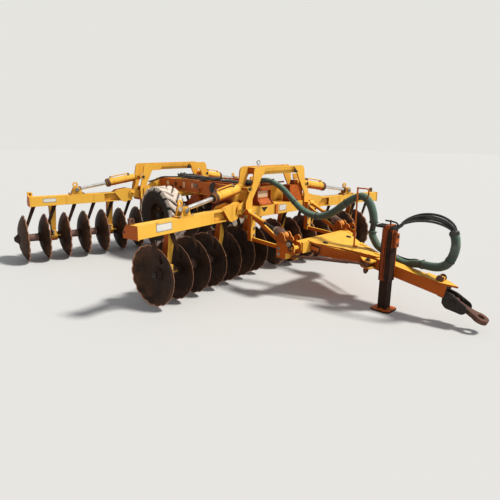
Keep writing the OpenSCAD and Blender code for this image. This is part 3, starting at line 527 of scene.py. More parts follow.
REAR_RUN = mm(
    [-68, -238, 1102], [32, -238, 1114], [132, -238, 1138], [222, -236, 1152], [302, -228, 1148],
    [382, -208, 1118], [452, -180, 1070], [512, -150, 1004], [572, -118, 932], [632, -92, 872],
    [702, -70, 828], [782, -50, 802], [872, -28, 796], [962, -8, 822], [1042, 10, 872], [1122, 28, 938],
    [1202, 46, 1000], [1282, 62, 1042], [1342, 68, 1046], [1397, 72, 1005], [1437, 77, 935],
    [1458, 80, 865], [1464, 82, 815], [1464, 82, 785])
FRONT_RUN = mm(
    [1448, 98, 705], [1448, 98, 690], [1454, 101, 655], [1474, 106, 615], [1512, 112, 562],
    [1567, 116, 528], [1632, 118, 500], [1712, 114, 466], [1792, 108, 440], [1862, 104, 436],
    [1932, 88, 458], [2002, 56, 474], [2072, 26, 482], [2142, 8, 488], [2207, 0, 502], [2262, -3, 534],
    [2298, -4, 588], [2318, -4, 652], [2326, -6, 720], [2318, -8, 780], [2300, -8, 832])
TAIL_RUN = mm(
    [2296, -8, 848], [2286, -9, 868], [2260, -12, 892], [2214, -18, 916], [2152, -28, 934],
    [2082, -42, 940], [2002, -62, 932], [1932, -84, 908], [1872, -100, 872], [1846, -116, 825],
    [1816, -116, 823])
LINK_RUN = mm([1464, 82, 785], [1464, 82, 772], [1456, 90, 745], [1448, 98, 718], [1448, 98, 705])
SLEEVE_R, HOSE_R, SLEEVE_SIDES = 0.039, 0.011, 28
# Looseness of each sleeve: metres along it, and shares of SLEEVE_R there
REAR_GIRTH = ((0.0, 0.45, 0.85, 1.25), (0.73, 0.8, 0.91, 1.05))
FRONT_GIRTH = ((0.0, 0.3), (1.0, 1.03))


def hose_sleeve(side, run, girth, seed):
    """Sleeve round four hoses: radius R * girth * (1 + a lobe for the hoses inside, turning slowly
    along it, + wrinkles that gather on the inside of bends)."""
    rng = np.random.default_rng(seed)
    path = smooth_line(run, 0.014)
    along = np.concatenate([[0], np.cumsum(np.linalg.norm(np.diff(path, axis=0), axis=1))])
    a = np.arange(SLEEVE_SIDES) * 2 * np.pi / SLEEVE_SIDES
    s, t = np.meshgrid(along, a, indexing="ij")
    way = unit(np.gradient(path, axis=0))
    bend = np.linalg.norm(np.gradient(way, axis=0), axis=1) / np.maximum(np.gradient(along), 1e-6)
    waves = zip((95, 150, 61), (1, -2, 2), rng.uniform(0, 6, 3))
    creases = sum(np.sin(s * f + t * k + p) for f, k, p in waves) / 3
    radius = SLEEVE_R * (0.985 + 0.018 * np.cos(4 * t + s * 7) + 0.012 * np.sin(s * 21 + 2 * t)
                         + 0.022 * creases * np.clip(bend[:, None] / 3, 0.25, 1))
    radius *= np.interp(along, *girth)[:, None]
    for end in (along, along[-1] - along):
        radius *= (0.9 + 0.1 * np.clip(end / 0.02, 0, 1))[:, None]
    skin = np.stack([s, t * SLEEVE_R, 0 * s], -1).reshape(-1, 3)
    sleeve = piece(f"{side}_hose_sleeve", "frame", {SLEEVE: [swept(path, radius, SLEEVE_SIDES)]},
                   skins=[skin], replaces=[f"{side}_sleeve"])
    return sleeve, path, along


def sleeve_ties(side, path, along, girth, places, end):
    """Narrow black bands round a sleeve, one near each end and others at distances along it, with a
    short tag end each, and a cuff round one end, the path's point 0 or -1."""
    way = unit(np.gradient(path, axis=0))
    shapes = []
    for at in (0.012, *places, along[-1] - 0.012):
        i = int(np.argmin(abs(along - at)))
        r = SLEEVE_R * np.interp(at, *girth)
        shapes.append(washer(r - 0.0005, r + 0.0035, 0.012, path[i], way[i], SLEEVE_SIDES, -0.006))
        aside, up = square_axes(way[i])
        knob = path[i] + (r + 0.004) * unit(0.4 * aside + up)
        shapes.append(brick((-0.006, -0.004, -0.004), (0.006, 0.004, 0.006), (aside, way[i], up), knob))
    away = unit(path[end] - path[1 if end == 0 else -2])
    cuff = mm((20, -30), (38.5, -26), (40.5, -20), (40.5, -2), (37.5, 8), (33.5, 18), (20, 20))
    shapes.append(turned(cuff * [girth[1][end], 1], path[end], away, SLEEVE_SIDES))
    return piece(f"{side}_sleeve_ties", "frame", {HOSE: shapes}, bevel=0.001)


def beside(run, spread, last=None):
    """One hose of the bundle: the run moved by its own offset, which fades to last at the far end."""
    share = np.linspace(0, 1, len(run))[:, None]
    return run + (1 - share) * spread + share * (spread if last is None else last)


rear_sleeve, rear_path, rear_along = hose_sleeve("rear", REAR_RUN, REAR_GIRTH, 3)
front_sleeve, front_path, front_along = hose_sleeve("front", FRONT_RUN, FRONT_GIRTH, 5)
rear_ties = sleeve_ties("rear", rear_path, rear_along, REAR_GIRTH, (0.41, 0.74, 1.06, 1.45), 0)
front_ties = sleeve_ties("front", front_path, front_along, FRONT_GIRTH, (0.36, 0.72, 1.02, 1.3), -1)
part = front_path[(front_along > 0.25) & (front_along < 0.8)]
hump = np.sin(np.linspace(0, np.pi, len(part)))[:, None]
beside_sleeve = [swept(part + hump * bow, 0.009, 10) for bow in mm((0, 12, 44), (0, 34, 30))]
front_side_hoses = piece("front_sleeve_side_hoses", "frame", {HOSE: beside_sleeve})
links = [pipe(beside(LINK_RUN, np.array([x, y, 0])), HOSE_R, 12, 0.01)
         for x in (-0.013, 0.013) for y in (-0.013, 0.013)]
link_hoses = piece("link_hose_lengths", "frame", {HOSE: links}, replaces=["link_hoses"])
for i in range(4):
    pair, side = (-1, 1)[i > 1], (-1, 1)[i % 2]
    run = beside(TAIL_RUN, np.array([pair * 0.013, side * 0.013, 0.003]), np.array([0, 0.03 * i - 0.053, 0]))
    sway = [0, side * 0.006, pair * 0.02 + side * 0.008]
    path = smooth_line(run + np.sin(np.pi * np.linspace(0, 1, len(run)))[:, None] * sway, 0.012)
    piece(f"tail_hose_{i + 1}", "frame", {HOSE: [swept(path, HOSE_R, 12)]},
                        replaces=["tail_hoses"] if i == 0 else ())


# Quarters: a wing's own axes, origin on the ground below its outermost disc

class Quarter:
    """Local places of one wing: x ahead, y inwards along the gang, z up, read from its gang's joint."""

    def __init__(self, row, side):
        self.row, self.side = row, side
        self.name = f"{row}_{side}"
        self.rear = row == "rear"
        joint = JOINTS[self.name + "_gang_spin"]
        self.origin = np.array(joint["pos_m"]) * [1, 1, 0]
        self.axle_z = joint["pos_m"][2]
        inwards = np.array(joint["axis"])
        ahead = np.array([inwards[1], -inwards[0], 0]) * (1 if side == "right" else -1)
        self.axes = np.array([ahead, inwards, Z])

    def at(self, *local):
        return self.origin + np.asarray(local, float) @ self.axes

    def way(self, *local):
        return np.asarray(local, float) @ self.axes

    def put(self, shape):
        """A shape made in local axes, put in place."""
        return self.origin + shape[0] @ self.axes, shape[1]


QUARTERS = [Quarter(row, side) for row in ("front", "rear") for side in ("right", "left")]
PITCH, DISC_R, DISH, SEAT_R, DISC_T = 0.254, 0.31, 0.08, 0.092, 0.007
SCALLOPS, NOTCH_R, NOTCH_D = 18, 0.076, 0.3785
WING_DISCS = {"front": 5, "rear": 6}
BEARING_DISCS = {"front": (0, 3), "rear": (1, 4)}
BEARING_AT = {"front": 0.168, "rear": 0.084}
# Turned profiles: rows of (radius, distance)
FLANGE = mm((36, 0), (62, 0), (66, 4), (66, 10), (60, 14), (52, 22), (47, 34), (36, 34))
END_WASHER = mm((20, 10), (52, 10), (52, 26), (46, 30), (20, 30))
END_NUT = mm((30, 30), (36, 33), (36, 56), (30, 60), (19, 60))


def disc(way, y, z, rng):
    """Dished disc with shallow scallops. Rim radius by turn: the lesser of R and
    D cos p - sqrt(n^2 - D^2 sin^2 p), p from the nearest notch's middle. Height of the bowl:
    dish * (1 - ((r - seat) / (R - seat))^2). The two faces join at a thinned rim."""
    turn = np.arange(SCALLOPS * 8) * 2 * np.pi / (SCALLOPS * 8)
    p = (turn + np.pi / SCALLOPS) % (2 * np.pi / SCALLOPS) - np.pi / SCALLOPS
    inside = np.maximum(NOTCH_R ** 2 - (NOTCH_D * np.sin(p)) ** 2, 0)
    notch = np.where(NOTCH_D * abs(np.sin(p)) < NOTCH_R, NOTCH_D * np.cos(p) - np.sqrt(inside), 9)
    rim = np.minimum(DISC_R, notch) - 0.0012 * abs(np.sin(turn * 7 + rng.uniform(0, 6)))
    share = np.array([0, 0.3, 0.6, 0.75, 0.85, 0.93, 0.97, 0.985, 1.0])
    r = SEAT_R + share[:, None] * (rim - SEAT_R)
    bowl = DISH * (1 - ((r - SEAT_R) / (DISC_R - SEAT_R)) ** 2)
    back = bowl + DISC_T * np.clip((rim - r) / 0.012, 0.3, 1)
    hole = r[:1] * 0 + 0.02
    radius = np.vstack([hole, r, r[::-1], hole])
    depth = np.vstack([bowl[:1], bowl, back[::-1], back[:1]])
    points = np.stack([radius * np.sin(turn), y + way * depth, z + radius * np.cos(turn)], -1)
    skin = np.stack([radius / DISC_R * (DISC_R / rim) ** (radius > 0.28), turn + 0 * radius, 0 * radius], -1)
    return surface(points, (False, True)), skin.reshape(-1, 3)


def gang(q, first, count, body, node):
    """Discs on their axle with cast spools, flange rings, washers and end nuts. A spool that runs
    in a bearing is slimmer than the others."""
    rng = np.random.default_rng(first * 7 + len(q.name))
    way = -1 if q.rear else 1
    discs, skins, spools, hubs, darks = [], [], [], [], []

    def on_axle(profile, at, side, sides):
        return q.put(turned(profile, (0, at, q.axle_z), (0, side, 0), sides))

    for i in range(first, first + count):
        shape, skin = disc(way, i * PITCH, q.axle_z, rng)
        discs.append(q.put(shape))
        skins.append(skin)
        hub = i * PITCH + way * DISH
        hubs.append(on_axle(FLANGE, hub if way > 0 else hub - DISC_T, -1, 32))
        hubs.append(on_axle(FLANGE, hub + DISC_T if way > 0 else hub, 1, 32))
    start, end = first * PITCH + way * DISH, (first + count - 1) * PITCH + way * DISH
    t = np.linspace(0, 1, 15)
    for k in range(count - 1):
        in_bearing = count == 2 or k in BEARING_DISCS[q.row]
        waist = (0.045 if in_bearing else 0.052) - 0.003 * np.sin(np.pi * t)
        profile = np.stack([waist, 0.02 + t * (PITCH - 0.04)], 1)
        spools.append(on_axle(profile, start + k * PITCH, 1, 28))
    for at, side in ((start, -1), (end, 1)):
        darks += [on_axle(END_WASHER, at, side, 28), on_axle(END_NUT, at, side, 6)]
        darks.append(q.put(rod((0, at, q.axle_z), (0, at + side * 0.062, q.axle_z), 0.018)))
    layers = {DISC_STEEL: discs, SPOOL_STEEL: spools, SHADE_DARKENED_FLANGE_STEEL: hubs, BLACK_STEEL: darks}
    piece(node + "_dressed", body, layers, skins=skins, replaces=[node])


for q in QUARTERS:
    gang(q, 0, WING_DISCS[q.row], q.name + "_gang", f"gang_{q.name}")
    gang(q, WING_DISCS[q.row], 2, q.name + "_centre_gang", f"centre_gang_{q.name}")


# Tyres

TYRE_W, RIM_R, LUG_FOOT, LUGS = 0.285, 0.2, 0.335, 16


def tyre(side):
    """Tyre as a grid of turn by section. The section runs bead to bead over the tread; lugs are
    raised bars slanting forwards from the middle: a bar where the turn plus slant times the
    distance from the middle, in lug pitches, has its fraction under the bar's share."""
    w = TYRE_W / 2
    shoulder = [(RIM_R - 0.006, 0.088), (RIM_R + 0.014, 0.097), (RIM_R + 0.03, 0.11),
                (RIM_R + 0.058, w - 0.006), (RIM_R + 0.09, w - 0.001), (RIM_R + 0.12, w - 0.002),
                (0.35, w - 0.012), (0.366, w - 0.02)]
    tread = [(0.372 + 0.003 * math.cos(v / 0.11), v) for v in np.linspace(w - 0.026, 0.026 - w, 15)]
    section = np.array(shoulder + tread + [(r, -v) for r, v in shoulder[::-1]])
    turn = np.arange(LUGS * 14) * 2 * np.pi / (LUGS * 14)
    t, r = np.meshgrid(turn, section[:, 0], indexing="ij")
    v = np.broadcast_to(section[:, 1], t.shape)
    phase = (t * LUGS / (2 * np.pi) + 0.5 * (v < 0) + abs(v) / w * 1.15) % 1
    bar = np.clip((0.37 - abs(phase - 0.5)) / 0.03 + 0.5, 0, 1)
    raised = bar * np.clip((r - LUG_FOOT) / 0.03, 0, 1) * np.clip((abs(v) + 0.014) / 0.012, 0, 1)
    radius = r + 0.0245 * raised * np.clip((r - LUG_FOOT) / 0.035, 0, 1)
    ribs = ((r > RIM_R + 0.02) & (r < RIM_R + 0.034)) * 0.002
    wide = v * (1 + 0.02 * raised * (abs(v) > 0.1)) + np.sign(v) * ribs
    points = np.stack([radius * np.sin(t), wide * (-1 if side == "right" else 1), radius * np.cos(t)], -1)
    skin = np.stack([raised, np.clip((radius - 0.24) / 0.13, 0, 1), 0 * t], -1).reshape(-1, 3)
    shape = surface(points + JOINTS[f"{side}_wheel_spin"]["pos_m"], (True, True))
    piece(f"tyre_{side}_tread", f"{side}_wheel", {TREAD: [shape]}, skins=[skin],
          replaces=[f"tyre_{side}"], sharp=50)


tyre("right")
tyre("left")


# Fittings shared by several pieces

def hex_bolt(at, way, across=0.024, stub=0.0):
    """Washer, six-sided head with a cut top, and a stub of thread where asked, all facing way."""
    r = across / math.sqrt(3)
    at, way = np.asarray(at, float), unit(way)
    shapes = [turned([(r * 1.45, 0), (r * 1.45, 0.003), (r * 1.3, 0.004)], at, way, 20),
              turned([(r, 0.003), (r, 0.55 * across), (0.84 * r, 0.64 * across)], at, way, 6)]
    if stub:
        shapes.append(rod(at, at + way * (0.64 * across + stub), across * 0.32, 12))
    return shapes


def hex_bolts(places, way, across, stub=0.0):
    """The same bolt at several places."""
    return [shape for at in places for shape in hex_bolt(at, way, across, stub)]


def pin_head(at, way, radius):
    """Domed pin head with a grease nipple in its middle."""
    at, way = np.asarray(at, float), unit(way)
    dome = [(radius, 0), (radius, 0.3 * radius), (0.86 * radius, 0.42 * radius), (0.3 * radius, 0.5 * radius)]
    nipple = mm((6, 0), (6, 6), (3.5, 9), (4.5, 13), (2, 16))
    return [turned(dome, at, way, 24), turned(nipple, at + way * 0.46 * radius, way, 10)]


def blank_plate(name, body, centre, across, over, size, face, border=None):
    """Bare plate with four rivets, on a wider border where one is given; nothing is written on it."""
    across, over = unit(across), unit(over)
    out = np.cross(across, over)
    width, height = size
    layers = {}
    if border:
        layers[border] = [plate(rounded(width, height, 0.01), 0.0014, centre, across, over)]
    inner = rounded(width - 0.016, height - 0.016, 0.006)
    layers[face] = [plate(inner, 0.0008, centre + out * 0.0013, across, over)]
    layers[ZINC] = []
    for sx in (-1, 1):
        for sy in (-1, 1):
            at = centre + out * 0.001 + across * sx * (width / 2 - 0.006) + over * sy * (height / 2 - 0.006)
            layers[ZINC].append(turned(mm((3.5, 0), (3, 1.6), (1, 2.2)), at, out, 8))
    piece(name, body, layers)


# Wings: plates, pins, bearings and bolts. A reach is how far the ram's low pin is from its top one

BEAM_LEAD, BEAM_W, BEAM_TOP = 0.12, 0.12, 0.864
HINGE_Z, LOW_PIN_Z = 0.85, 0.93
LABEL = {"front": (0.02, 0.813, 0.192, 0.074), "rear": (0.3, 0.812, 0.164, 0.052)}
REACH = {"front": 0.906, "rear": 0.87}
BEARING_COVER = mm((40.5, 0), (62, 0), (62, 5), (56, 9), (40.5, 9))
# Outlines from the hinge pin, rows of (inwards, up), and of the ring lug from the wing's outer end
GUSSET = mm((-230, 16), (-52, 76), (3, 80), (48, 55), (64, 25), (58, -20), (18, -40), (-18, -108),
            (-97, -122.5), (-172, 10))
HINGE_CHEEK = mm((-30, 52), (120, 104), (158, 55), (158, 4), (48, -50), (-4, -50), (-36, -10))
RING_LUG = mm((-15.5, 1), (45.5, 1), (45.5, 38), (36, 53), (20, 57.5), (-15.5, 57.5))


def bearing_fittings(q):
    """Round covers with four bolts, and the flange bolts of each hanger's bearing."""
    covers, bolts = [], []
    for i in BEARING_DISCS[q.row]:
        s, z = i * PITCH + BEARING_AT[q.row], q.axle_z
        for side in (-1, 1):
            at, way = q.at(0, s + side * 0.035, z), q.way(0, side, 0)
            covers.append(turned(BEARING_COVER, at, way, 28))
            for a in np.deg2rad([45, 135, 225, 315]):
                round_ = q.way(0.051 * math.cos(a), 0, 0.051 * math.sin(a))
                bolts += hex_bolt(at + way * 0.006 + round_, way, 0.013)
        places = [q.at(0.096, s - 0.012, z + up) for up in (0.036, 0.074)]
        bolts += hex_bolts(places, q.axes[0], 0.019, 0.006)
        covers.append(q.put(brick((0.06, s - 0.045, z + 0.012), (0.104, s + 0.075, z + 0.022))))
        bolts += hex_bolt(q.at(0.082, s + 0.058, z + 0.022), Z, 0.019)
    return covers, bolts


def wing_fittings(q):
    """Pin heads, ring lugs, bolts and the blank plate of one wing."""
    hinge_s, ram_s = [float((np.array(JOINTS[q.name + name]["pos_m"]) - q.origin) @ q.axes[1])
                      for name in ("_wing_fold", "_ram_swing")]
    low_s = ram_s - REACH[q.row]
    out = -0.276 if q.row == "front" else 0.075
    covers, bolts = bearing_fittings(q)
    heads, rings = [], []
    for side in (-1, 1):
        face = BEAM_LEAD + side * 0.057
        heads += pin_head(q.at(face, low_s, LOW_PIN_Z), q.way(side, 0, 0), 0.026)
        covers += pin_head(q.at(BEAM_LEAD + side * 0.09, hinge_s, HINGE_Z), q.way(side, 0, 0), 0.026)
        rings.append(q.put(torus((face, low_s, LOW_PIN_Z), X, 0.031, 0.005, 28, 8)))
    # Ring lug above the ram's bracket, on the rear ear
    rings.append(q.put(washer(0.016, 0.035, 0.014, (0.082, low_s, 0.99), X, 28, -0.007)))
    # Rusty ring lug over the end plate's own, with dark discs as painted shade in its hole and in the plate's
    # small hole
    lugs = [q.put(plate(RING_LUG + [out, BEAM_TOP], 0.025, (0.0545, 0, 0), Y, Z))]
    dark = [q.put(drum(0.013, 0.027, (0.067, out + 0.016, BEAM_TOP + 0.03), X, start=-0.0135)),
            q.put(drum(0.013, 0.0015, (-0.004, out - 0.0152, 0.792), Y))]
    # Deep gusset that rises from the beam to the hinge, and the frame's plate beside it
    if q.row == "front":
        pin = [hinge_s, HINGE_Z]
        covers.append(q.put(plate(GUSSET + pin, 0.048, (0.1465, 0, 0), Y, Z)))
        cheek = q.put(plate(HINGE_CHEEK + pin, 0.006, (0.2101, 0, 0), Y, Z))
        piece(f"hinge_cheek_{q.name}", "frame", {YELLOW: [cheek]}, bevel=0.001)
    places = [q.at(BEAM_LEAD + x, low_s + y, BEAM_TOP + 0.012)
              for x in (-0.045, 0.045) for y in (-0.082, 0.082)]
    bolts += hex_bolts(places, Z, 0.019)
    layers = {YELLOW: covers + rings, BOLT_STEEL: bolts, ZINC: heads, BLACK_STEEL: dark}
    if q.rear:
        layers[YELLOW] += lugs
    else:
        layers[RUSTY_STEEL] = lugs
    piece(f"wing_fittings_{q.name}", q.name + "_wing", layers, bevel=0.0008)
    y, z, width, height = LABEL[q.row]
    mirror = 1 if q.side == "right" else -1
    blank_plate(f"blank_plate_{q.name}", q.name + "_wing", q.at(BEAM_LEAD + BEAM_W / 2, y, z),
                q.way(0, mirror, 0), Z, (width, height), WHITE, GREY)


def ram_fittings(q):
    """Feed pipe, ports and gland of one ram on its barrel, and the collar at the rod's eye."""
    base = np.array(JOINTS[q.name + "_ram_swing"]["pos_m"])
    way = -unit(JOINTS[q.name + "_ram_stroke"]["axis"])
    side = q.axes[0]
    up = np.cross(way, side)
    up *= math.copysign(1, up[2])

    def at(along, high, aside=0.0):
        return base + way * along + up * high + side * aside

    course = mm((135, 66), (165, 73), (240, 74), (320, 74), (375, 72), (395, 66))
    feed = [pipe([at(*place) for place in course], 0.0075, step=0.012)]
    nuts = [drum(0.013, 0.016, at(0.135, 0.064), up, 6), drum(0.013, 0.016, at(0.395, 0.064), up, 6),
            drum(0.011, 0.022, at(0.135, 0.058, 0.012), side, 6)]
    gland = mm((51.5, 420), (56.5, 422), (58, 427), (58, 459), (56, 464), (51.5, 466))
    seal = mm((23.6, 470.2), (44, 470.2), (44, 473), (30, 476), (23.6, 476))
    straps = [washer(0.0505, 0.0535, 0.016, base, way, 32, along) for along in (0.35, 0.18)]
    layers = {YELLOW: straps + feed, RUSTY_STEEL: [turned(gland, base, way, 36, True)], ZINC: nuts,
              BLACK_STEEL: [turned(seal, base, way, 32, True)]}
    piece(f"ram_fittings_{q.name}", q.name + "_barrel", layers, bevel=0.0007)
    # The collar ends 32 mm short of the rod's eye
    eye = base + way * math.hypot(REACH[q.row], 0.14)
    collar = mm((23.5, -62), (31, -60), (34, -34), (23.5, -32))
    piece(f"ram_eye_collar_{q.name}", q.name + "_rod",
          {RUSTY_STEEL: [turned(collar, eye, way, 28, True)]})


for q in QUARTERS:
    wing_fittings(q)
    ram_fittings(q)


# Hitch: levelling screws, their castings, bolts and the drawbar's pins

def dipped(degrees):
    """Two axes in an upright lengthwise plane: ahead and down by an angle, and up square to it."""
    c, s = math.cos(math.radians(degrees)), math.sin(math.radians(degrees))
    return np.array([c, 0, -s]), np.array([s, 0, c])


CROSS_X, CROSS_Z, BLOCK_Y = 0.922, 0.523, 0.5
BLOCK_PIN_X, BLOCK_PIN_Z = 0.905, 0.572
LENGTHWISE, POLE_UP = dipped(9)
LINK_CHEEK = mm((722, 562), (742, 640), (768, 672), (800, 676), (824, 654), (840, 610), (850, 562))
BLOCK_CHEEK = mm((846, 560), (858, 618), (884, 650), (916, 662), (944, 646), (952, 618), (926, 626),
                 (905, 612), (898, 575))
# Turned profiles of the screw, the castings' bosses and the dark cap that paints the shade inside the cross tube's
# end
SCREW_COLLAR = mm((21.5, 0), (29, 2), (29, 20), (21.5, 22))
SCREW_NUT = mm((29.5, 0), (33.5, 3), (33.5, 26), (29.5, 29))
BLOCK_BOSS = mm((24, 0), (41, 0), (41, 6), (34, 9), (24, 9))
CAP_AS_TUBE_END_SHADE = mm((24.5, -2), (24.5, 1.5), (12, 1.5), (12, -4))


def on_pole(along, y, up):
    """Place beside the drawbar, in metres along it, across it and square to it."""
    return np.array([CROSS_X, y, CROSS_Z]) + along * LENGTHWISE + up * POLE_UP


def pole_brick(low, high):
    """Box between two corners in the drawbar's own axes."""
    return brick(low, high, (LENGTHWISE, Y, POLE_UP), on_pole(0, 0, 0))


def upright(outline, y, thick):
    """Plate standing lengthways, its outline rows (x, z), from y by its thickness towards the left."""
    return plate(outline * [1, -1], thick, (0, y, 0), X, -Z)


def levelling_screw(s, layers):
    """Threaded rod with its collar and nut, corrugated bellows and ball of one levelling screw.
    Radius of the thread: 13.4 mm, plus 1.8 mm at every second row. Of the bellows: 42.5 mm +
    3 mm * (1 + cos 14 pi t), t from 0 to 1 along it."""
    start, end = np.array([0.2858, s * 0.56, 0.826]), np.array([0.786, s * 0.506, 0.635])
    way, length = unit(end - start), float(np.linalg.norm(end - start))
    rows = np.arange(63)
    thread = np.stack([0.0134 + 0.0018 * (rows % 2), 0.45 * length + rows * 0.0025], 1)
    t = np.linspace(0, 1, 57)
    folds = np.stack([0.0425 + 0.003 * (1 + np.cos(14 * np.pi * t)), 0.79 * length + t * 0.112], 1)
    a = np.linspace(0.15, math.pi - 0.15, 12)
    ball = 0.0445 * np.stack([np.sin(a), -np.cos(a)], 1)
    nut = start + way * 0.74 * length
    layers[BLACK_STEEL].append(turned(thread, start, way, 16))
    layers[BELLOWS].append(turned(folds, start, way, 28))
    layers[CASTING] += [turned(ball, end, way, 24),
                        turned(SCREW_COLLAR, start + way * 0.435 * length, way, 24, True)]
    layers[BOLT_STEEL] += [turned(SCREW_NUT, nut - way * 0.0025, way, 6),
                           washer(0.0135, 0.038, 0.004, nut + way * 0.03, way)]


hitch = {BLACK_STEEL: [], BELLOWS: [], CASTING: [], BOLT_STEEL: []}
for s in (-1, 1):
    levelling_screw(s, hitch)
    for cheek, middle, half in ((LINK_CHEEK, s * 0.506, 0.06), (BLOCK_CHEEK, s * BLOCK_Y, 0.061)):
        hitch[CASTING] += [upright(cheek, middle + y, 0.014) for y in (-half, half - 0.014)]
    side, face = (0, s, 0), s * 0.5625
    # The dark cap in the cross tube's end is painted shade of its open mouth
    hitch[BLACK_STEEL] += [turned(BLOCK_BOSS, (BLOCK_PIN_X, face, BLOCK_PIN_Z), side, 28, True),
                           turned(CAP_AS_TUBE_END_SHADE, (CROSS_X, s * 0.58, CROSS_Z), side, 24)]
    hitch[CASTING].append(washer(0.0245, 0.036, 0.007, (CROSS_X, face, CROSS_Z), side, 28))
    hitch[BOLT_STEEL] += hex_bolt((BLOCK_PIN_X, face, BLOCK_PIN_Z), side, 0.046, 0.01)
    hitch[BOLT_STEEL] += hex_bolts([(0.755, s * 0.562, z) for z in (0.44, 0.5)], side, 0.022)
    places = [(0.3078, s * (BLOCK_Y - 0.018), z) for z in (0.56, 0.64, 0.8)]
    hitch[BOLT_STEEL] += hex_bolts(places, X, 0.02, 0.004)
piece("levelling_screws", "frame", hitch, bevel=0.0008)

# Side stays' pins on the drawbar, and the lock pin across it with a head at each end
STAY, STAY_Y, LOCK, LOCK_UP = 0.648, 0.15, 1.315, 0.088
PIN_TIP = mm((10, 0), (26, 0), (26, 14), (14, 40), (10, 40))
LOCK_HEAD = mm((10, 0), (33, 2), (33, 12), (10, 14))
stay_pins, stay_rings = [], [rod(on_pole(LOCK, -0.046, LOCK_UP), on_pole(LOCK, 0.046, LOCK_UP), 0.017)]
for s in (-1, 1):
    stay_pins += pin_head(on_pole(STAY, s * STAY_Y, 0.054), POLE_UP, 0.019)
    stay_pins += hex_bolt((0.898, s * 0.461, 0.4105), Z, 0.026)
    stay_rings += [washer(0.0145, 0.03, 0.004, on_pole(STAY, s * STAY_Y, 0.038), POLE_UP),
                   turned(PIN_TIP, on_pole(STAY, s * STAY_Y, -0.0585), -POLE_UP, 16),
                   turned(LOCK_HEAD, on_pole(LOCK, s * 0.03, LOCK_UP), (0, s, 0), 24)]
piece("drawbar_pins", "frame", {BLACK_STEEL: stay_pins, RUSTY_STEEL: stay_rings}, bevel=0.0008)


# Jack: dark plates as painted shade in its slot and channel, worn runners, bolts, the pin of its lock, the crank
# and the foot

JACK = np.array([1.762, -0.124, 0.0])
# Thin dark plates inside the jack's channel and slot: painted shade
slot_shade_plates = [brick(low, high, origin=JACK) for low, high in (
    ((0.002, -0.0534, 0.302), (0.0534, -0.0515, 0.79)), ((-0.0534, -0.055, 0.3), (-0.045, -0.0515, 0.7)),
    ((0.0515, -0.0534, 0.302), (0.0534, 0.053, 0.63)), ((0.014, -0.0585, 0.3), (0.034, -0.051, 0.802)))]
runners = [brick((-0.006, -0.056, 0.33), (0.002, -0.051, 0.76), origin=JACK),
           brick((0.051, 0.042, 0.306), (0.056, 0.053, 0.628), origin=JACK)]
jack_irons = [rod(JACK + [0.012, -0.03, 0.8], JACK + [0.014, -0.03, 0.892], 0.008)]
jack_irons += hex_bolts([JACK + [0.082, 0, z] for z in (0.662, 0.742)], X, 0.02, 0.004)
crank = pipe(JACK + mm((70, 0, 790), (72, 0, 850), (40, -4, 872), (-50, -12, 878)), 0.008, step=0.012)
piece("jack_fittings", "frame",
      {SLOT_STEEL: slot_shade_plates, RUSTY_ORANGE: runners, RUSTY_STEEL: jack_irons, BLACK_STEEL: [crank]}, bevel=0.001)
foot = [turned(mm((30, 14), (66, 14), (55, 22), (30, 30)), JACK, Z, 4),
        plate(rounded(0.198, 0.198, 0.039), 0.0012, JACK + [0, 0, 0.0138], X, Y)]
piece("jack_foot_web", "jack_leg", {RUSTY_ORANGE: foot}, bevel=0.001)


# Drawbar's plates, dark sheets as painted shade in its window openings, and the clevis and tow eye: round bosses,
# pin head and nut, worn ring

PIN = np.array(JOINTS["eye_hinge"]["pos_m"])
ALONG_EYE, EYE_UP = dipped(22)
turn = np.linspace(math.pi / 2, 3 * math.pi / 2, 12)
half = np.stack([np.cos(turn), np.sin(turn)], 1)
CHEEK = np.vstack([0.07 * half + [-0.02, 0.006], -0.05 * half + [0.085, 0]])
BOSS = mm((19.5, -12), (60, -12), (64, -6), (64, 3), (54, 9), (19.5, 9))
LOW_BOSS = mm((10, 0), (30, 0), (30, 8), (24, 12), (10, 12))
WINDOW_BOSS = mm((4, 0), (30, 0), (26, 8), (4, 12))
bosses, window_shades, tube_ends = [], [], []
# Thin plates on the sides and the bottom of the pole's end
END_FROM, END_TO = 1.343, 1.402
plates = [pole_brick((END_FROM, -0.066, -0.058), (END_TO, -0.064, 0.056)),
          pole_brick((END_FROM, 0.062, -0.058), (END_TO, 0.064, 0.056)),
          pole_brick((END_FROM, -0.062, -0.0635), (END_TO, 0.062, -0.0615))]
for s in (-1, 1):
    side = (0, s, 0)
    bosses.append(plate(CHEEK * [1, s], 0.009, PIN + [0, s * 0.0555, 0], ALONG_EYE, -s * EYE_UP))
    bosses.append(turned(BOSS, PIN + [0, s * 0.056, 0], side, 32, True))
    bosses.append(turned(LOW_BOSS, on_pole(1.425, s * 0.056, -0.045), side, 24))
    # Thin dark sheets on the pole's sides and dark discs on its top plate: painted shade of openings
    window_shades.append(pole_brick((0.052, s * 0.3005 - 0.0015, -0.05), (0.168, s * 0.3005 + 0.0015, 0.034)))
    window_shades.append(turned(WINDOW_BOSS, on_pole(0.165, s * 0.215, 0.068), POLE_UP, 20))
    tube_ends.append(rod(on_pole(0.05, s * 0.298, -0.004), on_pole(0.16, s * 0.298, -0.004), 0.024))
    for k in range(4):
        # Stepped strip along the top plate's sloping edge, which comes in by 0.4167 a metre
        along, edge = 0.345 + 0.08 * k, 0.176 - 0.08 * k * 0.4167
        step = mm((0, 12), (95, -20), (110, -52), (20, -52)) * [1, s] + [along, s * edge]
        plates.append(plate(step, 0.007, on_pole(0, 0, 0.0675), LENGTHWISE, Y))
piece("drawbar_plates", "frame", {YELLOW: plates}, bevel=0.001)
piece("drawbar_windows", "frame", {OPENING_SHADE: window_shades, ORANGE: tube_ends}, bevel=0.001)
ends = pin_head(PIN + [0, -0.066, 0], -Y, 0.028) + hex_bolt(PIN + [0, 0.066, 0], Y, 0.042, 0.01)
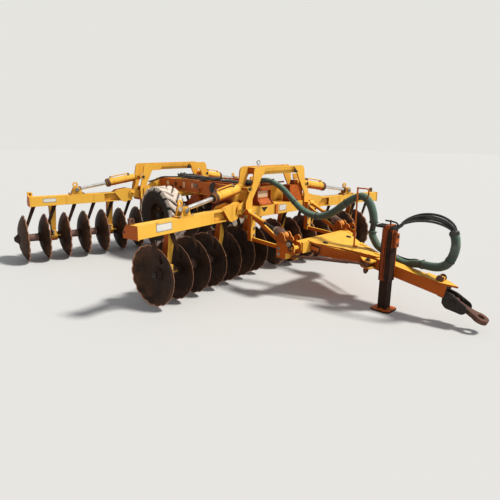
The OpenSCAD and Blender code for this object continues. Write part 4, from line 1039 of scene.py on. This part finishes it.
piece("clevis_bosses", "frame", {BLACK_STEEL: bosses + ends}, bevel=0.001)
ring = torus(PIN + 0.242 * ALONG_EYE, EYE_UP, 0.049, 0.02, 48, 16, 1.16)
piece("tow_eye_ring", "tow_eye", {RUSTY_STEEL: [ring]})


# Long beams: bare plates, bolts, ring and the hoses and pipes over them

RAIL_Y, RAIL_LUG_X = 0.3122, -0.977
rail_bits, rail_bolts, ledges = [], [], []
for x, width, height in ((-1.638, 0.07, 0.07), (-1.248, 0.056, 0.092), (-1.06, 0.046, 0.076)):
    blank_plate(f"rail_plate_{int(-x * 1000)}", "frame", np.array([x, -0.3121, 0.992]), X, Z, (width, height),
                RAIL_PLATE)
for s in (-1, 1):
    side = (0, s, 0)
    rail_bits += hex_bolts([(x, s * RAIL_Y, 0.952) for x in (-1.54, -1.33, -0.9, -0.42)], side, 0.022)
    rail_bits.append(washer(0.01, 0.026, 0.006, (-1.44, s * RAIL_Y, 0.99), side))
    rail_bits.append(washer(0.012, 0.034, 0.004, (RAIL_LUG_X, s * RAIL_Y, 1.0), side))
    rail_bolts += hex_bolt((RAIL_LUG_X, s * 0.315, 1.0), side, 0.034, 0.008)
    ledges.append(rod((-1.79, s * 0.3202, 0.9), (-0.69, s * 0.3202, 0.9), 0.008, 10))
    brace = mm((-850, 985), (-835, 985), (-905, 905), (-935, 905))
    ledges.append(upright(brace, s * 0.312, s * 0.01))
piece("rail_fittings", "frame",
      {BLACK_STEEL: rail_bits, BOLT_STEEL: rail_bolts, YELLOW: ledges}, bevel=0.0008)

rng = np.random.default_rng(11)
over_rails, pipes, clamps, hose_ends = [], [], [], []
for k in range(4):
    # To the rear arch
    bend = 20 * (k > 1)
    line = mm((-1500, 20 + bend, 1068), (-1600, 70 + bend, 1066), (-1690, 190, 1064), (-1770, 320, 1064),
              (-1790 - bend, 400, 1030), (-1835 - bend, 500, 1000))
    over_rails.append(pipe(line * [1, (-1, 1)[k % 2], 1], 0.0105))
for k in range(6):
    # Loose along the right beam
    j = rng.uniform(-0.014, 0.014, (8, 2))
    line = mm((-1560, 20 * (k - 2), 1074), (-1500, -130, 1092), (-1420, -225, 1122), (-1320, -262, 1100),
              (-1160, -256, 1094), (-980, -262, 1094), (-820, -236, 1092), (-720, -120, 1086))
    line[:, 1] += 0.019 * (k - 2.5) + j[:, 0]
    line[:, 2] += 0.016 * (k % 2) + 0.4 * j[:, 1]
    over_rails.append(pipe(line, 0.0115))
for k in range(4):
    # Nested loop on the right beam's side, and the end of its hose
    a, r = np.linspace(math.radians(75), math.radians(285 - 12 * k), 12), 0.024 + 0.019 * k
    loop = np.stack([-0.59 + r * np.cos(a), 0 * a - 0.322, 0.992 + 0.9 * r * np.sin(a)], 1)
    over_rails.append(pipe(loop, 0.0075, step=0.008))
    hose_ends.append(rod(loop[-1], loop[-1] + [0.034, 0, -0.004], 0.0085, 10))
for k, y in enumerate((-60, -20, 20, 60)):
    # From the rear sleeve's start back to the middle of the frame
    gy, gz = (-13, 13)[k % 2], (-13, 13)[k > 1]
    line = mm((-60, gy - 238, 1102 + gz), (-120, gy - 230, 1100 + gz), (-190, y / 2 - 150, 1090),
              (-270, y, 1076), (-330, y, 1074))
    over_rails.append(pipe(line, HOSE_R, 12, 0.012))
for x in (-1.46, -1.1, -0.74, -0.38):
    clamps.append(brick((x - 0.016, -0.088, 1.0495), (x + 0.016, 0.088, 1.082)))
    clamps += hex_bolts([(x, y, 1.082) for y in (-0.04, 0.04)], Z, 0.016)
for s in (-1, 1):
    outer = mm((-1300, 75, 1066), (-1050, 120, 1070), (-860, 262, 1070), (-500, 262, 1070), (-160, 262, 1072),
               (-50, 290, 1082), (-10, 360, 1086))
    inner = mm((-1200, 78, 1060), (-950, 235, 1068), (-600, 235, 1068), (-160, 235, 1070))
    pipes += [pipe(outer * [1, s, 1], 0.01), pipe(inner * [1, s, 1], 0.008)]
piece("hose_bundle", "frame", {HOSE: over_rails, ZINC: hose_ends})
piece("rail_pipes", "frame", {RUSTY_ORANGE: pipes, ZINC: clamps}, bevel=0.0008)


# Arches and boxes: dark discs as painted shade in the pin holes, painted shadow triangles, a gusset, a rib in
# darker paint as a painted shadow strip, bolts, bare plate, patch and the reflector's rim

def crossways(outline, thick, x):
    """Plate standing crossways, its outline rows (y, z), from x by its thickness ahead."""
    return plate(outline, thick, (x, 0, 0), Y, Z)


arch_shade_marks, arch_yellow, arch_bolts = [], [], []
for s in (-1, 1):
    for face, y in ((0.2518, 0.506), (-1.8557, 0.582)):
        # Dark discs in the arches' pin holes: painted shade
        arch_shade_marks.append(turned(mm((22.5, 0), (22.5, 1.2), (4, 1.6)), (face, s * y, 1.07), X, 24))
        arch_yellow.append(washer(0.0225, 0.031, 0.003, (face, s * y, 1.07), X, 28))
    for x, y in ((0.237, 0.56), (-1.855, 0.4)):
        arch_bolts += hex_bolts([(x, s * y, z) for z in (0.772, 0.834)], X, 0.024)
# Dark triangles at the arch bars' ends and under the shelf box: painted shadows
arch_shade_marks += [crossways(mm((247, 1222), (322, 1222), (250, 1284)), 0.0016, 0.2519),
              crossways(mm((184, 1166), (276, 1166), (220, 1232)), 0.0016, -1.8556),
              crossways(mm((-250, 792), (-190, 846), (-300, 846)), 0.0014, 0.2369)]
arch_yellow.append(crossways(mm((345, 1128), (440, 1128), (440, 1196), (330, 1200)), 0.01, 0.15))
# Rib beside the front beam's plate, in the darker orange paint, standing for a gusset's shadow strip: painted
# shadow
arch_rib_shadow_strip = brick((0.2366, -0.068, 0.744), (0.254, -0.03, 0.863))
piece("arch_fittings", "frame",
      {YELLOW: arch_yellow, OPENING_SHADE: arch_shade_marks, ORANGE: [arch_rib_shadow_strip], BOLT_STEEL: arch_bolts})
blank_plate("blank_plate_front_beam", "frame", np.array([0.2369, 0.07, 0.812]), Y, Z, (0.128, 0.074),
            WHITE, GREY)
patch = plate(rounded(0.158, 0.074, 0.008), 0.0012, (0.163, -0.206, 0.986), Y, Z)
piece("box_patch", "frame", {RAIL_PLATE: [patch]})
rim = torus((0.2513, -0.368, 1.357), X, 0.0235, 0.0022, 32, 8)
piece("reflector_rim", "frame", {BLACK_STEEL: [rim]})

# End of the hose pole's hook
curl = pipe(mm((1428, 6, 1112), (1428.5, 6, 1085), (1424, 6, 1060), (1412, 6, 1038)), 0.007, 12, 0.008)
piece("pole_hook_end", "frame", {RUSTY_ORANGE: [curl]})

# Wheels: hub caps and nuts
HUB_CAP = mm((10, 60), (50, 60), (50, 78), (40, 92), (10, 97))
for side, s in (("right", -1), ("left", 1)):
    centre, out = np.array(JOINTS[f"{side}_wheel_spin"]["pos_m"]), np.array([0, s, 0])
    circle = [centre + out * 0.028 + 0.092 * np.array([math.cos(a), 0, math.sin(a)])
              for a in np.arange(6) * math.pi / 3]
    nuts, cap = hex_bolts(circle, out, 0.026, 0.01), turned(HUB_CAP, centre, out, 28)
    piece(f"wheel_nuts_{side}", f"{side}_wheel", {RUSTY_STEEL: nuts, BLACK_STEEL: [cap]},
          bevel=0.0008)


# Light, floor and the end of the script

def studio():
    """Plain pale floor, a soft sun from the photograph's sunny side and an even pale world, which
    cameras and reflections see paler than the light it gives."""
    mesh = bpy.data.meshes.new("floor")
    mesh.from_pydata([(-60, -60, 0), (60, -60, 0), (60, 60, 0), (-60, 60, 0)], [], [(0, 1, 2, 3)])
    mesh.materials.append(Finish("floor", Roughness=0.9, Specular_IOR_Level=0.1).wear(hue(208, 208, 206)))
    added("floor", mesh)
    sun = bpy.data.lights.new("key", "SUN")
    sun.energy, sun.color, sun.angle = 3.6, (1.0, 0.97, 0.92), math.radians(9)
    place = Vector((4.3, 4.0, 8.1))
    turn = (-place).to_track_quat("-Z", "Y").to_matrix().to_4x4()
    added("key", sun).matrix_world = Matrix.Translation(place) @ turn
    world = bpy.data.worlds.new("world")
    bpy.context.scene.world = world
    world.use_nodes = True
    tree = Tree(world.node_tree)
    back = tree.nodes["Background"]
    back.inputs["Color"].default_value = (0.93, 0.95, 1.0, 1)
    back.inputs["Strength"].default_value = 0.38
    seen = tree.node("Background", {}, {"Color": (0.785, 0.778, 0.742, 1)})
    camera, glossy = [tree.node("LightPath", {}, {}, out=f"Is {ray} Ray") for ray in ("Camera", "Glossy")]
    mix = tree.node("MixShader", {}, {0: camera.most(glossy), 1: Wire(tree, back.outputs[0]), 2: seen})
    tree.feed(tree.nodes["World Output"].inputs["Surface"], mix)


studio()
bpy.context.scene.view_settings.view_transform = "Standard"
